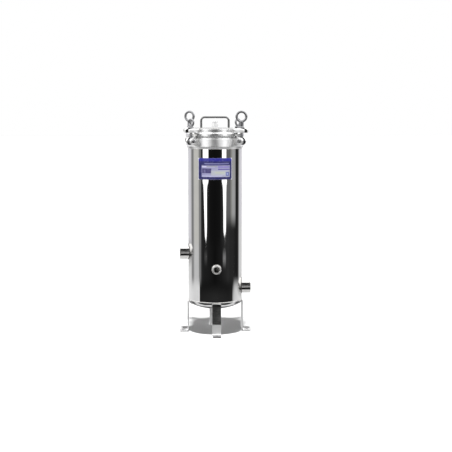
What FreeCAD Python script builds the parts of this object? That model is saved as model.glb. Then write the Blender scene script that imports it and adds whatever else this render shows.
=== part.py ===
import FreeCAD, Part
import math
import os
import Sketcher

# Multi-cartridge filter housing, seven cartridges, upright on four strap legs.
# Frame: millimetres, +Z up, origin on the floor on the vessel axis, front is -Y.
# The inlet stub points to -X, the outlet stub to +X, the tapped socket to the front.

os.makedirs("parts", exist_ok=True)
doc = FreeCAD.newDocument("filter_housing")
V3 = FreeCAD.Vector
Rot = FreeCAD.Rotation
Pl = FreeCAD.Placement

# ---------------------------------------------------------------- dimensions
DIMS = [
    # vessel
    ("shell_ro", 109.55, "shell outer radius"),
    ("shell_ri", 106.55, "shell inner radius"),
    ("shell_low", 136.0, "weld seam to the bottom head"),
    ("shell_split", 380.0, "joint between the lower and the upper course"),
    ("shell_top", 766.0, "top edge of the shell tube"),
    ("knuckle_rad", 20.0, "bottom head outer knuckle radius"),
    ("crown_rad", 230.0, "bottom head outer crown radius"),
    ("head_wall", 3.0, "bottom head wall"),
    # collar on the shell's top
    ("collar_low", 757.0, "underside of the collar"),
    ("collar_top", 800.0, "sealing face of the collar"),
    ("collar_ro", 116.5, "collar outer radius"),
    ("collar_round", 8.0, "lower outer corner of the collar"),
    ("collar_cham", 3.6, "upper outer chamfer of the collar"),
    ("groove_ri", 107.9, "seal groove inner radius"),
    ("groove_ro", 113.1, "seal groove outer radius"),
    ("groove_deep", 4.0, "seal groove depth"),
    ("seal_mid", 110.5, "seal ring centre radius"),
    ("seal_sec", 2.35, "seal ring section radius"),
    # lid
    ("lid_low", 801.2, "underside of the lid"),
    ("bead_low", 806.5, "start of the lid bead"),
    ("bead_high", 820.0, "end of the lid bead"),
    ("bead_ro", 118.0, "lid bead outer radius"),
    ("lid_ro", 109.5, "lid side radius"),
    ("lid_top", 838.0, "top face of the lid"),
    ("lid_foot_ro", 113.4, "lid radius at its underside"),
    ("recess_ri", 97.0, "recess radius under the lid"),
    ("recess_top", 826.0, "ceiling of the recess"),
    # handle
    ("handle_half", 56.0, "half the distance between the handle legs"),
    ("handle_top", 887.0, "top of the handle rod"),
    ("handle_rad", 4.4, "handle rod radius"),
    ("handle_bend", 14.0, "handle bend radius at the rod centre"),
    # clamping points
    ("bolt_circle", 142.0, "radius of the swing bolt axes"),
    ("pivot_high", 788.0, "height of the swing bolt pivots"),
    ("seat_high", 840.0, "underside of the washers"),
    ("lug_end", 15.0, "rounded end of the body lugs"),
    ("lug_thick", 6.0, "lug and ear plate thickness"),
    ("fork_half", 7.4, "half of the slot between two plates"),
    ("ear_low", 821.5, "underside of the lid ears"),
    ("ear_end", 166.0, "tip radius of the lid ears"),
    ("ear_crown", 51.7, "crown radius of the ear tops about the pivot"),
    ("pin_rad", 5.0, "pivot pin radius"),
    ("eye_hole", 5.06, "hole in the bolt eye"),
    ("lug_hole", 5.02, "hole in the lug plates"),
    ("eye_rad", 11.0, "bolt eye outer radius"),
    ("eye_wide", 13.0, "bolt eye width"),
    ("shank_rad", 6.0, "swing bolt shank radius"),
    ("shank_tall", 866.0, "end of the tall swing bolts"),
    ("shank_short", 850.0, "end of the short swing bolts"),
    ("washer_rad", 12.5, "washer radius"),
    ("washer_thick", 2.5, "washer thickness"),
    ("nut_rad", 8.6, "nut barrel radius"),
    ("nut_bore", 6.06, "nut bore radius"),
    ("nut_tall", 25.0, "tall nut barrel height"),
    ("nut_short", 5.0, "short nut barrel height"),
    ("ring_mid", 19.2, "ring centre line radius"),
    ("ring_sec", 4.9, "ring section radius"),
    ("ring_mid_low", 13.0, "low ring centre line radius"),
    ("ring_sec_low", 4.0, "low ring section radius"),
    # ports
    ("pipe_ro", 30.15, "pipe stub outer radius"),
    ("pipe_ri", 27.35, "pipe stub bore radius"),
    ("pipe_reach", 145.0, "distance of the stub ends from the axis"),
    ("pipe_start", 102.4, "inner end of the stubs"),
    ("inlet_high", 333.0, "inlet axis height"),
    ("outlet_high", 189.0, "outlet axis height"),
    ("socket_high", 272.0, "front socket axis height"),
    ("socket_ro", 18.2, "front socket outer radius"),
    ("socket_ri", 10.5, "front socket bore radius"),
    ("socket_reach", 124.0, "face of the front socket from the axis"),
    ("hole_slack", 0.1, "clearance of the shell holes"),
    # legs
    ("leg_wide", 36.0, "width of the leg bar"),
    ("leg_thick", 5.0, "thickness of the leg bar"),
    ("leg_in", 109.1, "inner face of the legs"),
    ("leg_top", 131.5, "top of the legs"),
    ("leg_bend", 6.0, "inner bend radius"),
    ("foot_end", 147.0, "tip radius of the feet"),
    ("foot_hole_at", 133.0, "foot hole position"),
    ("foot_hole_rad", 5.5, "foot hole radius"),
    # rating plate
    ("plate_ri", 109.65, "rating plate inner radius"),
    ("plate_ro", 110.35, "rating plate outer radius"),
    ("plate_low", 635.0, "rating plate lower edge"),
    ("plate_tall", 86.0, "rating plate height"),
    ("plate_half_deg", 37.9, "half the angle that the plate covers"),
    ("plate_turn_deg", -2.8, "turn of the plate from the front line"),
    # inside
    ("sheet_low", 226.0, "tube sheet underside"),
    ("sheet_thick", 6.0, "tube sheet thickness"),
    ("sheet_ro", 106.4, "tube sheet radius"),
    ("cart_circle", 68.0, "radius of the outer cartridges"),
    ("cart_ro", 31.5, "cartridge outer radius"),
    ("cart_ri", 14.0, "cartridge core radius"),
    ("cart_low", 234.2, "lower end of the cartridges"),
    ("cart_len", 508.0, "cartridge length with end caps"),
    ("cap_thick", 5.0, "end cap thickness"),
    ("seat_ro", 13.2, "seat spigot radius"),
    ("seat_ri", 10.5, "seat spigot bore"),
    ("spring_mid", 10.0, "spring centre radius"),
    ("spring_wire", 1.1, "spring wire radius"),
    ("spring_pitch", 6.0, "spring pitch"),
    ("plate2_low", 779.0, "hold-down plate underside"),
    ("plate2_thick", 4.0, "hold-down plate thickness"),
    ("plate2_ro", 102.0, "hold-down plate radius"),
    ("rod_circle", 95.0, "radius of the tie rods"),
    ("rod_rad", 4.0, "tie rod radius"),
    ("vent_rad", 13.0, "vent socket radius"),
    ("vent_high", 855.0, "top of the vent socket"),
    ("vent_plug_high", 866.0, "top of the vent plug"),
]
sheet = doc.addObject("Spreadsheet::Sheet", "Dims")
V = {}
for i, (alias, value, what) in enumerate(DIMS):
    row = i + 1
    sheet.set("A%d" % row, what)
    sheet.set("B%d" % row, str(value))
    sheet.setAlias("B%d" % row, alias)
    V[alias] = value
doc.recompute()


def val(q):
    """Number behind a size: a plain number, a cell, or (sign, size, size)."""
    if isinstance(q, (int, float)):
        return float(q)
    if isinstance(q, str):
        return float(V[q])
    op, a, b = q
    a, b = val(a), val(b)
    return {"+": a + b, "-": a - b, "*": a * b, "/": a / b if b else 0.0}[op]


def exp(q):
    """The same size as an expression on the sheet."""
    if isinstance(q, (int, float)):
        return repr(float(q))
    if isinstance(q, str):
        return "Dims." + q
    op, a, b = q
    return "(%s %s %s)" % (exp(a), op, exp(b))


def bind(obj, prop, q):
    setattr(obj, prop, val(q))
    if not isinstance(q, (int, float)):
        obj.setExpression(prop, exp(q))


def plus(a, b):
    return ("+", a, b)


def minus(a, b):
    return ("-", a, b)


# ---------------------------------------------------------------- builders
def plane(body, role):
    for feat in body.Origin.OriginFeatures:
        if feat.Role == role:
            return feat
    raise RuntimeError(role)


def new_body(name):
    body = doc.addObject("PartDesign::Body", name)
    body.Label = name
    return body


def new_sketch(body, name, role="XZ_Plane", offset=None):
    sk = body.newObject("Sketcher::SketchObject", name)
    sk.AttachmentSupport = [(plane(body, role), "")]
    sk.MapMode = "FlatFace"
    if offset is not None:
        sk.AttachmentOffset = Pl(V3(0, 0, val(offset)), Rot())
        if not isinstance(offset, (int, float)):
            sk.setExpression(".AttachmentOffset.Base.z", exp(offset))
    return sk


def add_outline(sk, points, arcs=None):
    """Closed outline. points are (size, size); arcs maps a segment number to
    (centre, radius size, counter-clockwise)."""
    arcs = arcs or {}
    n = len(points)
    num = [V3(val(p[0]), val(p[1]), 0) for p in points]
    first = sk.GeometryCount
    starts, ends = [], []
    for k in range(n):
        a, b = num[k], num[(k + 1) % n]
        if k in arcs:
            (cx, cy), rad, ccw = arcs[k][:3]
            c = V3(val(cx), val(cy), 0)
            r = val(rad)
            a0 = math.atan2(a.y - c.y, a.x - c.x)
            a1 = math.atan2(b.y - c.y, b.x - c.x)
            circle = Part.Circle(c, V3(0, 0, 1), r)
            if ccw:
                while a1 < a0:
                    a1 += 2 * math.pi
                gid = sk.addGeometry(Part.ArcOfCircle(circle, a0, a1), False)
                starts.append((gid, 1))
                ends.append((gid, 2))
            else:
                while a0 < a1:
                    a0 += 2 * math.pi
                gid = sk.addGeometry(Part.ArcOfCircle(circle, a1, a0), False)
                starts.append((gid, 2))
                ends.append((gid, 1))
        else:
            gid = sk.addGeometry(Part.LineSegment(a, b), False)
            starts.append((gid, 1))
            ends.append((gid, 2))
    for k in range(n):
        g0, p0 = ends[k]
        g1, p1 = starts[(k + 1) % n]
        sk.addConstraint(same_point(g0, p0, g1, p1))
    for k in range(n):
        gid, pos = starts[k]
        for axis, q in (("DistanceX", points[k][0]), ("DistanceY", points[k][1])):
            v = val(q)
            if abs(v) < 1e-9:
                sk.addConstraint(on_axis(gid, pos, -2 if axis == "DistanceX" else -1))
            else:
                cid = sk.addConstraint(distance(axis, gid, pos, v))
                if not isinstance(q, (int, float)):
                    sk.setExpression("Constraints[%d]" % cid, exp(q))
    for k, arc in arcs.items():
        rad = arc[1]
        if len(arc) == 4:  # half circle: its centre is held, the end points give the radius
            rad = arc[0][0]
            cid = sk.addConstraint(distance("DistanceX", starts[k][0], 3, val(rad)))
        else:
            cid = sk.addConstraint(radius_of(starts[k][0], val(rad)))
        if not isinstance(rad, (int, float)):
            sk.setExpression("Constraints[%d]" % cid, exp(rad))
    return first


def same_point(g0, p0, g1, p1):
    return Sketcher.Constraint("Coincident", g0, p0, g1, p1)


def on_axis(gid, pos, axis):
    return Sketcher.Constraint("PointOnObject", gid, pos, axis)


def distance(kind, gid, pos, v):
    return Sketcher.Constraint(kind, -1, 1, gid, pos, v)


def radius_of(gid, v):
    return Sketcher.Constraint("Radius", gid, v)


def add_circle(sk, cx, cy, rad):
    gid = sk.addGeometry(Part.Circle(V3(val(cx), val(cy), 0), V3(0, 0, 1), val(rad)), False)
    for kind, q, ax in (("DistanceX", cx, -2), ("DistanceY", cy, -1)):
        if abs(val(q)) < 1e-9:
            sk.addConstraint(on_axis(gid, 3, ax))
        else:
            cid = sk.addConstraint(distance(kind, gid, 3, val(q)))
            if not isinstance(q, (int, float)):
                sk.setExpression("Constraints[%d]" % cid, exp(q))
    cid = sk.addConstraint(radius_of(gid, val(rad)))
    if not isinstance(rad, (int, float)):
        sk.setExpression("Constraints[%d]" % cid, exp(rad))
    return gid


def revolve(body, sk, label):
    rev = body.newObject("PartDesign::Revolution", label)
    rev.Profile = sk
    rev.ReferenceAxis = (sk, ["V_Axis"])
    rev.Angle = 360.0
    return rev


def pad(body, sk, length, label, mid=False, back=False):
    p = body.newObject("PartDesign::Pad", label)
    p.Profile = sk
    bind(p, "Length", length)
    if mid:
        p.Midplane = True
    if back:
        p.Reversed = True
    return p


def pocket(body, sk, length, label, mid=False, back=False):
    """Pocket that has to take material away, else its direction is turned."""
    doc.recompute()
    before = body.Shape.Volume
    p = body.newObject("PartDesign::Pocket", label)
    p.Profile = sk
    bind(p, "Length", length)
    if mid:
        p.Midplane = True
    if back:
        p.Reversed = True
    doc.recompute()
    if body.Shape.Volume > before - 0.5:
        p.Reversed = not p.Reversed
        doc.recompute()
    if body.Shape.Volume > before - 0.5:
        raise RuntimeError("pocket takes nothing: " + label)
    return p


def rev_body(name, points, arcs=None):
    body = new_body(name)
    sk = new_sketch(body, name + "_profile", "XZ_Plane")
    add_outline(sk, points, arcs)
    revolve(body, sk, name + "_turn")
    return body


def cyl(name, rad, height, pos, rot=None):
    c = doc.addObject("Part::Cylinder", name)
    bind(c, "Radius", rad)
    bind(c, "Height", height)
    c.Placement = Pl(pos, rot or Rot())
    return c


def box(name, lx, ly, lz, pos, rot=None):
    b = doc.addObject("Part::Box", name)
    bind(b, "Length", lx)
    bind(b, "Width", ly)
    bind(b, "Height", lz)
    b.Placement = Pl(pos, rot or Rot())
    return b


def cut(name, base, tool):
    c = doc.addObject("Part::Cut", name)
    c.Base = base
    c.Tool = tool
    return c


def fuse(name, shapes):
    f = doc.addObject("Part::MultiFuse", name)
    f.Shapes = shapes
    return f


def group(name, members):
    g = doc.addObject("Part::Compound", name)
    g.Links = members
    g.Label = name
    return g


NODES = []


def node(obj, name):
    obj.Label = name
    NODES.append((name, obj))
    return obj


def around(k_deg):
    """Rotation about the vessel axis that carries +X to the given direction."""
    return Rot(V3(0, 0, 1), k_deg)


AX_X = Rot(V3(0, 1, 0), 90)     # cylinder axis along +X
AX_Y = Rot(V3(1, 0, 0), -90)    # cylinder axis along +Y

# ---------------------------------------------------------------- vessel shell
# The lower course is rolled from four quarter plates, three of them with a port. The upper course is a plain tube.
def quarter_plate(name, turn, port=None):
    tall = minus("shell_split", "shell_low")
    outer = cyl(name + "_outer", "shell_ro", tall, V3(0, 0, V["shell_low"]), around(turn - 45))
    outer.Angle = 90
    bore = cyl(name + "_bore", "shell_ri", tall, V3(0, 0, V["shell_low"]))
    wall = cut(name + "_wall", outer, bore)
    if port is not None:
        rad, high = port
        to = V3(math.cos(math.radians(turn)), math.sin(math.radians(turn)), 0)
        drill = cyl(name + "_port", plus(rad, "hole_slack"), 50, V3(to.x * 90, to.y * 90, V[high]), Rot(V3(0, 0, 1), to))
        wall = cut(name + "_opened", wall, drill)
    doc.recompute()
    if not wall.Shape.isValid() or len(wall.Shape.Solids) != 1:
        raise RuntimeError("quarter plate is not one solid: " + name)
    away = V3(108 * math.cos(math.radians(turn)), 108 * math.sin(math.radians(turn)), V[port[1]] if port else 300)
    if wall.Shape.isInside(away, 0.1, True) == (port is not None):
        raise RuntimeError("port missing or misplaced: " + name)
    node(wall, name)


quarter_plate("shell_plate_front", -90, ("socket_ro", "socket_high"))
quarter_plate("shell_plate_right", 0, ("pipe_ro", "outlet_high"))
quarter_plate("shell_plate_rear", 90)
quarter_plate("shell_plate_left", 180, ("pipe_ro", "inlet_high"))

upper = new_body("shell_tube_upper")
ring = new_sketch(upper, "shell_upper_ring", "XY_Plane", "shell_split")
add_circle(ring, 0, 0, "shell_ro")
add_circle(ring, 0, 0, "shell_ri")
pad(upper, ring, minus("shell_top", "shell_split"), "shell_upper_wall")
node(upper, "shell_tube_upper")

# Dished bottom head: knuckle and crown arcs, outside and inside.
ro, rk, rc = V["shell_ro"], V["knuckle_rad"], V["crown_rad"]
lowz = V["shell_low"]
ck = ro - rk
drop = math.sqrt((rc - rk) ** 2 - ck ** 2)
cz = lowz + drop
tw = V["head_wall"]
ux, uz = ck / (rc - rk), -drop / (rc - rk)
extra = [
    ("head_tan_rout", ck + ux * rk), ("head_tan_zout", lowz + uz * rk),
    ("head_tan_rin", ck + ux * (rk - tw)), ("head_tan_zin", lowz + uz * (rk - tw)),
    ("head_bot_out", cz - rc), ("head_bot_in", cz - rc + tw),
    ("knuckle_in", rk - tw), ("crown_in", rc - tw),
]
for alias, value in extra:
    row = len(V) + 1
    sheet.set("A%d" % row, "derived for the bottom head")
    sheet.set("B%d" % row, "%.6f" % value)
    sheet.setAlias("B%d" % row, alias)
    V[alias] = round(value, 6)
doc.recompute()
head = rev_body("bottom_head", [
    ("shell_ro", "shell_low"), ("head_tan_rout", "head_tan_zout"), (0, "head_bot_out"), (0, "head_bot_in"),
    ("head_tan_rin", "head_tan_zin"), ("shell_ri", "shell_low")],
    {0: ((ck, lowz), "knuckle_rad", False), 1: ((0, cz), "crown_rad", False),
     3: ((0, cz), "crown_in", True), 4: ((ck, lowz), "knuckle_in", True)})
node(head, "bottom_head")

# Collar: socket over the shell's top edge, seal groove in its upper face.
collar = new_body("body_collar")
sk = new_sketch(collar, "collar_profile", "XZ_Plane")
add_outline(sk, [
    (plus("shell_ro", 0.1), "collar_low"),
    (plus("shell_ro", 0.9), "collar_low"),
    ("collar_ro", plus("collar_low", "collar_round")),
    ("collar_ro", minus("collar_top", "collar_cham")),
    (minus("collar_ro", 2.6), "collar_top"),
    ("groove_ro", "collar_top"),
    ("groove_ro", minus("collar_top", "groove_deep")),
    ("groove_ri", minus("collar_top", "groove_deep")),
    ("groove_ri", "collar_top"),
    (plus("shell_ri", 0.1), "collar_top"),
    (plus("shell_ri", 0.1), plus("shell_top", 0.1)),
    (plus("shell_ro", 0.1), plus("shell_top", 0.1)),
])
revolve(collar, sk, "collar_turn")
doc.recompute()
edges = []
for i, e in enumerate(collar.Shape.Edges):
    bb = e.BoundBox
    if abs(bb.ZMax - bb.ZMin) < 1e-3 and abs(bb.XMax - V["collar_ro"]) < 0.05 and abs(bb.ZMin - V["collar_low"] - V["collar_round"]) < 0.05:
        edges.append("Edge%d" % (i + 1))
f = collar.newObject("PartDesign::Fillet", "collar_soft")
f.Base = (doc.getObject("collar_turn"), edges)
f.Radius = 7.0
node(collar, "body_collar")

seal = doc.addObject("Part::Torus", "collar_seal")
bind(seal, "Radius1", "seal_mid")
bind(seal, "Radius2", "seal_sec")
seal.Placement = Pl(V3(0, 0, V["collar_top"] - V["groove_deep"] + V["seal_sec"] + 0.1), Rot())
node(seal, "collar_seal")

# ---------------------------------------------------------------- ports
reach = minus("pipe_reach", "pipe_start")
for name, sign, high in (("inlet_pipe", -1, "inlet_high"), ("outlet_pipe", 1, "outlet_high")):
    start = V3(sign * V["pipe_start"], 0, V[high])
    rot = Rot(V3(0, 1, 0), 90 * sign)
    pipe = cut(name, cyl(name + "_outer", "pipe_ro", reach, start, rot),
               cyl(name + "_bore", "pipe_ri", plus(reach, 2), start - V3(sign, 0, 0), rot))
    node(pipe, name)
# Tapped half coupling at the front: bore with lead-in chamfer.
sock = new_body("front_socket")
sk = new_sketch(sock, "socket_profile", "XZ_Plane")
add_outline(sk, [
    ("socket_ri", 105.0), ("socket_ro", 105.0),
    ("socket_ro", minus("socket_reach", 1.5)), (minus("socket_ro", 1.5), "socket_reach"),
    (plus("socket_ri", 1.3), "socket_reach"), ("socket_ri", minus("socket_reach", 1.3))])
revolve(sock, sk, "socket_turn")
sock.Placement = Pl(V3(0, 0, V["socket_high"]), Rot(V3(1, 0, 0), 90))
node(sock, "front_socket")

# ---------------------------------------------------------------- legs
for name, turn in (("leg_right", 0), ("leg_rear", 90), ("leg_left", 180), ("leg_front", -90)):
    leg = new_body(name)
    sk = new_sketch(leg, name + "_side", "XZ_Plane")
    outer = plus("leg_bend", "leg_thick")
    bx = plus("leg_in", outer)
    add_outline(sk, [
        ("leg_in", "leg_top"), ("leg_in", outer), (bx, 0), ("foot_end", 0),
        ("foot_end", "leg_thick"), (bx, "leg_thick"), (plus("leg_in", "leg_thick"), outer),
        (plus("leg_in", "leg_thick"), "leg_top")],
        {1: ((bx, outer), outer, True), 5: ((bx, outer), "leg_bend", False)})
    pad(leg, sk, "leg_wide", name + "_bar", mid=True)
    sk = new_sketch(leg, name + "_hole_mark", "XY_Plane")
    add_circle(sk, "foot_hole_at", 0, "foot_hole_rad")
    pocket(leg, sk, 12, name + "_hole", mid=True)
    edges = []
    for i, e in enumerate(leg.Shape.Edges):
        bb = e.BoundBox
        tip = abs(bb.XMin - V["foot_end"]) < 0.01 and bb.XMax - bb.XMin < 0.01 and bb.YMax - bb.YMin < 0.01
        top = abs(bb.ZMin - V["leg_top"]) < 0.01 and bb.ZMax - bb.ZMin < 0.01 and bb.YMax - bb.YMin < 0.01
        if tip or top:
            edges.append("Edge%d" % (i + 1))
    if len(edges) != 4:
        raise RuntimeError("leg corners: %d" % len(edges))
    f = leg.newObject("PartDesign::Fillet", name + "_corners")
    f.Base = (doc.getObject(name + "_hole"), edges)
    f.Radius = 5.0
    leg.Placement = Pl(V3(0, 0, 0), around(turn))
    node(leg, name)

# ---------------------------------------------------------------- rating plate
plate = doc.addObject("Part::Feature", "rating_plate")
half = V["plate_half_deg"]
seg = Part.makeCylinder(V["plate_ro"], V["plate_tall"], V3(0, 0, V["plate_low"]), V3(0, 0, 1), 2 * half)
seg = seg.cut(Part.makeCylinder(V["plate_ri"], V["plate_tall"] + 2, V3(0, 0, V["plate_low"] - 1), V3(0, 0, 1)))
plate.Shape = seg
plate.Placement = Pl(V3(0, 0, 0), around(-90 - half + V["plate_turn_deg"]))
node(plate, "rating_plate")

# ---------------------------------------------------------------- clamping points
CORNERS = (("front_left", -135.0), ("front_right", -45.0), ("rear_right", 45.0), ("rear_left", 135.0))
SHORT = ("front_left", "rear_right")


def fork(name, corner, tip_points, tip_arcs):
    """Two radial plates, one each side of the slot, at a corner."""
    out = []
    for side in (-1, 1):
        b = new_body("%s_%s_%s" % (name, corner[0], "a" if side < 0 else "b"))
        s = new_sketch(b, b.Name + "_side", "XZ_Plane")
        add_outline(s, tip_points, tip_arcs)
        if name == "lug":
            add_circle(s, "bolt_circle", "pivot_high", "lug_hole")
        pad(b, s, "lug_thick", b.Name + "_plate", mid=True)
        off = side * (V["fork_half"] + V["lug_thick"] / 2)
        r = around(corner[1])
        b.Placement = Pl(r.multVec(V3(0, off, 0)), r)
        out.append(b)
    return out


lugs, ears = [], []
lug_low = minus("pivot_high", "lug_end")
lug_high = plus("pivot_high", "lug_end")
crown_r = "ear_crown"
ear_tip_z = V["pivot_high"] + math.sqrt(V["ear_crown"] ** 2 - (V["ear_end"] - V["bolt_circle"] - 0.0) ** 2)
ear_in = 122.0
ear_in_z = V["pivot_high"] + math.sqrt(V["ear_crown"] ** 2 - (V["bolt_circle"] - ear_in) ** 2)
for corner in CORNERS:
    lugs += fork("lug", corner, [
        (116.3, lug_low), ("bolt_circle", lug_low), ("bolt_circle", lug_high), (116.3, lug_high)],
        {1: (("bolt_circle", "pivot_high"), "lug_end", True, "half")})
    ears += fork("ear", corner, [
        (109.3, "ear_low"), (minus("ear_end", 3.0), "ear_low"), ("ear_end", plus("ear_low", 3.0)),
        ("ear_end", ear_tip_z), (ear_in, ear_in_z), (109.3, ear_in_z)],
        {3: (("bolt_circle", "pivot_high"), "ear_crown", True)})
node(group("body_lugs", lugs), "body_lugs")

pins, rings_low = [], []
for corner in CORNERS:
    r = around(corner[1])
    at = r.multVec(V3(V["bolt_circle"], 0, 0))
    tang = r.multiply(Rot(V3(1, 0, 0), -90))
    span = V["fork_half"] + V["lug_thick"]

    def at_off(d):
        return at + r.multVec(V3(0, d, 0)) + V3(0, 0, V["pivot_high"])
    shaft = cyl("pin_shaft_" + corner[0], "pin_rad", 2 * span + 7.5, at_off(-span - 1.5), tang)
    head = cyl("pin_head_" + corner[0], 8.2, 4.5, at_off(-span - 5.0), tang)
    clip = cyl("pin_clip_" + corner[0], 7.6, 3.2, at_off(span + 0.4), tang)
    pins.append(fuse("pivot_pin_" + corner[0], [shaft, head, clip]))
node(group("pivot_pins", pins), "pivot_pins")

# Inner sleeve parts: tube sheet, seats, cartridges, springs, hold-down plate, tie rods.
spots = [(0.0, 0.0)] + [(V["cart_circle"] * math.cos(math.radians(60 * k)), V["cart_circle"] * math.sin(math.radians(60 * k))) for k in range(6)]
tsheet = new_body("tube_sheet")
sk = new_sketch(tsheet, "tube_sheet_outline", "XY_Plane", "sheet_low")
add_circle(sk, 0, 0, "sheet_ro")
for x, y in spots:
    add_circle(sk, round(x, 6), round(y, 6), plus("seat_ro", 0.1))
for a in (30, 150, 270):
    add_circle(sk, round(V["rod_circle"] * math.cos(math.radians(a)), 6), round(V["rod_circle"] * math.sin(math.radians(a)), 6), plus("rod_rad", 0.1))
pad(tsheet, sk, "sheet_thick", "tube_sheet_plate")
node(tsheet, "tube_sheet")

sheet_top = plus("sheet_low", "sheet_thick")
seats, media, caps, springs, tops = [], [], [], [], []
for k, (x, y) in enumerate(spots):
    at = V3(x, y, 0)
    seat = new_body("seat_%d" % k)
    s = new_sketch(seat, "seat_profile_%d" % k, "XZ_Plane")
    add_outline(s, [("seat_ri", minus("sheet_low", 4)), ("seat_ro", minus("sheet_low", 4)), ("seat_ro", sheet_top),
                    (22.0, sheet_top), (22.0, plus(sheet_top, 2.0)), ("seat_ro", plus(sheet_top, 2.0)),
                    ("seat_ro", plus(sheet_top, 20.0)), ("seat_ri", plus(sheet_top, 20.0))])
    revolve(seat, s, "seat_turn_%d" % k)
    seat.Placement = Pl(at, Rot())
    seats.append(seat)
    low = V["cart_low"]
    ct = V["cap_thick"]
    media.append(cut("media_%d" % k, cyl("media_out_%d" % k, "cart_ro", minus("cart_len", ("*", 2, "cap_thick")), at + V3(0, 0, low + ct)),
                     cyl("media_in_%d" % k, "cart_ri", plus("cart_len", 2), at + V3(0, 0, low - 1))))
    for j, z in enumerate((low, low + V["cart_len"] - ct)):
        caps.append(cut("cap_%d_%d" % (k, j), cyl("cap_out_%d_%d" % (k, j), plus("cart_ro", 0.6), "cap_thick", at + V3(0, 0, z)),
                        cyl("cap_in_%d_%d" % (k, j), "cart_ri", plus("cap_thick", 2), at + V3(0, 0, z - 1))))
    top = low + V["cart_len"]
    cap = new_body("top_cap_%d" % k)
    s = new_sketch(cap, "top_cap_profile_%d" % k, "XZ_Plane")
    add_outline(s, [(0, top - 14), (13.2, top - 14), (13.2, top + 0.1), (20.0, top + 0.1), (20.0, top + 3.0), (7.5, top + 3.0), (7.5, top + 16.0), (0, top + 16.0)])
    revolve(cap, s, "top_cap_turn_%d" % k)
    cap.Placement = Pl(at, Rot())
    tops.append(cap)
node(group("cartridge_seats", seats), "cartridge_seats")
node(group("filter_cartridges", media), "filter_cartridges")
node(group("cartridge_end_caps", caps), "cartridge_end_caps")
node(group("cartridge_top_caps", tops), "cartridge_top_caps")

top = V["cart_low"] + V["cart_len"]
spring_low = top + 3.0 + V["spring_wire"] + 0.1
spring_turns = int((V["plate2_low"] - V["spring_wire"] - 0.3 - spring_low) / V["spring_pitch"])
spring_tall = spring_turns * V["spring_pitch"]
coils = []
helix = Part.makeHelix(V["spring_pitch"], spring_tall, V["spring_mid"])
ring = Part.Wire([Part.makeCircle(V["spring_wire"], V3(V["spring_mid"], 0, 0), V3(0, 1, 0))])
sweep = Part.Wire(helix.Edges).makePipeShell([ring], True, False)
for k, (x, y) in enumerate(spots):
    c = doc.addObject("Part::Feature", "spring_%d" % k)
    c.Shape = sweep
    c.Placement = Pl(V3(x, y, spring_low), Rot())
    coils.append(c)
node(group("hold_down_springs", coils), "hold_down_springs")

hold = new_body("hold_down_plate")
sk = new_sketch(hold, "hold_down_outline", "XY_Plane", "plate2_low")
add_circle(sk, 0, 0, "plate2_ro")
for a in range(6):
    add_circle(sk, round(40.0 * math.cos(math.radians(30 + 60 * a)), 6), round(40.0 * math.sin(math.radians(30 + 60 * a)), 6), 9.0)
for a in (30, 150, 270):
    add_circle(sk, round(V["rod_circle"] * math.cos(math.radians(a)), 6), round(V["rod_circle"] * math.sin(math.radians(a)), 6), plus("rod_rad", 0.3))
pad(hold, sk, "plate2_thick", "hold_down_disc")
node(hold, "hold_down_plate")

rods, nuts6 = [], []
for j, a in enumerate((30, 150, 270)):
    x, y = V["rod_circle"] * math.cos(math.radians(a)), V["rod_circle"] * math.sin(math.radians(a))
    rods.append(cyl("tie_rod_%d" % j, "rod_rad", 574.0, V3(x, y, 219.0)))
    for i, z in enumerate((V["sheet_low"] - 6.5, V["sheet_low"] + V["sheet_thick"], V["plate2_low"] + V["plate2_thick"])):
        h = doc.addObject("Part::Prism", "rod_nut_blank_%d_%d" % (j, i))
        h.Polygon = 6
        h.Circumradius = 7.5
        h.Height = 6.5
        h.Placement = Pl(V3(x, y, z), Rot())
        hole = cyl("rod_nut_hole_%d_%d" % (j, i), plus("rod_rad", 0.02), 10.0, V3(x, y, z - 1))
        nuts6.append(cut("rod_nut_%d_%d" % (j, i), h, hole))
node(group("tie_rods", rods), "tie_rods")
node(group("tie_rod_nuts", nuts6), "tie_rod_nuts")

# ---------------------------------------------------------------- lid
lid = new_body("lid_cover")
sk = new_sketch(lid, "lid_profile", "XZ_Plane")
add_outline(sk, [
    ("recess_ri", "lid_low"), ("lid_foot_ro", "lid_low"), ("bead_ro", "bead_low"), ("bead_ro", "bead_high"),
    (plus("lid_ro", 1.0), plus("bead_high", 1.5)), ("lid_ro", plus("bead_high", 3.0)), ("lid_ro", "lid_top"), (0, "lid_top"), (0, "recess_top"), ("recess_ri", "recess_top")])
revolve(lid, sk, "lid_turn")
doc.recompute()
bead, rim = [], []
for i, e in enumerate(lid.Shape.Edges):
    bb = e.BoundBox
    if bb.ZMax - bb.ZMin > 1e-3:
        continue
    if abs(bb.XMax - V["bead_ro"]) < 0.01:
        bead.append("Edge%d" % (i + 1))
    if abs(bb.XMax - V["lid_ro"]) < 0.01 and abs(bb.ZMax - V["lid_top"]) < 0.01:
        rim.append("Edge%d" % (i + 1))
f = lid.newObject("PartDesign::Fillet", "bead_round")
f.Base = (doc.getObject("lid_turn"), bead)
f.Radius = 4.5
doc.recompute()
rim = []
for i, e in enumerate(lid.Shape.Edges):
    bb = e.BoundBox
    if bb.ZMax - bb.ZMin < 1e-3 and abs(bb.XMax - V["lid_ro"]) < 0.01 and abs(bb.ZMax - V["lid_top"]) < 0.01:
        rim.append("Edge%d" % (i + 1))
f2 = lid.newObject("PartDesign::Fillet", "rim_round")
f2.Base = (f, rim)
f2.Radius = 3.0
# Tapped hole for the vent socket through the lid's middle.
sk = new_sketch(lid, "vent_mark", "XY_Plane", "lid_top")
add_circle(sk, 0, 0, 6.0)
pocket(lid, sk, 20, "vent_hole")
node(lid, "lid_cover")
node(group("lid_ears", ears), "lid_ears")

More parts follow.
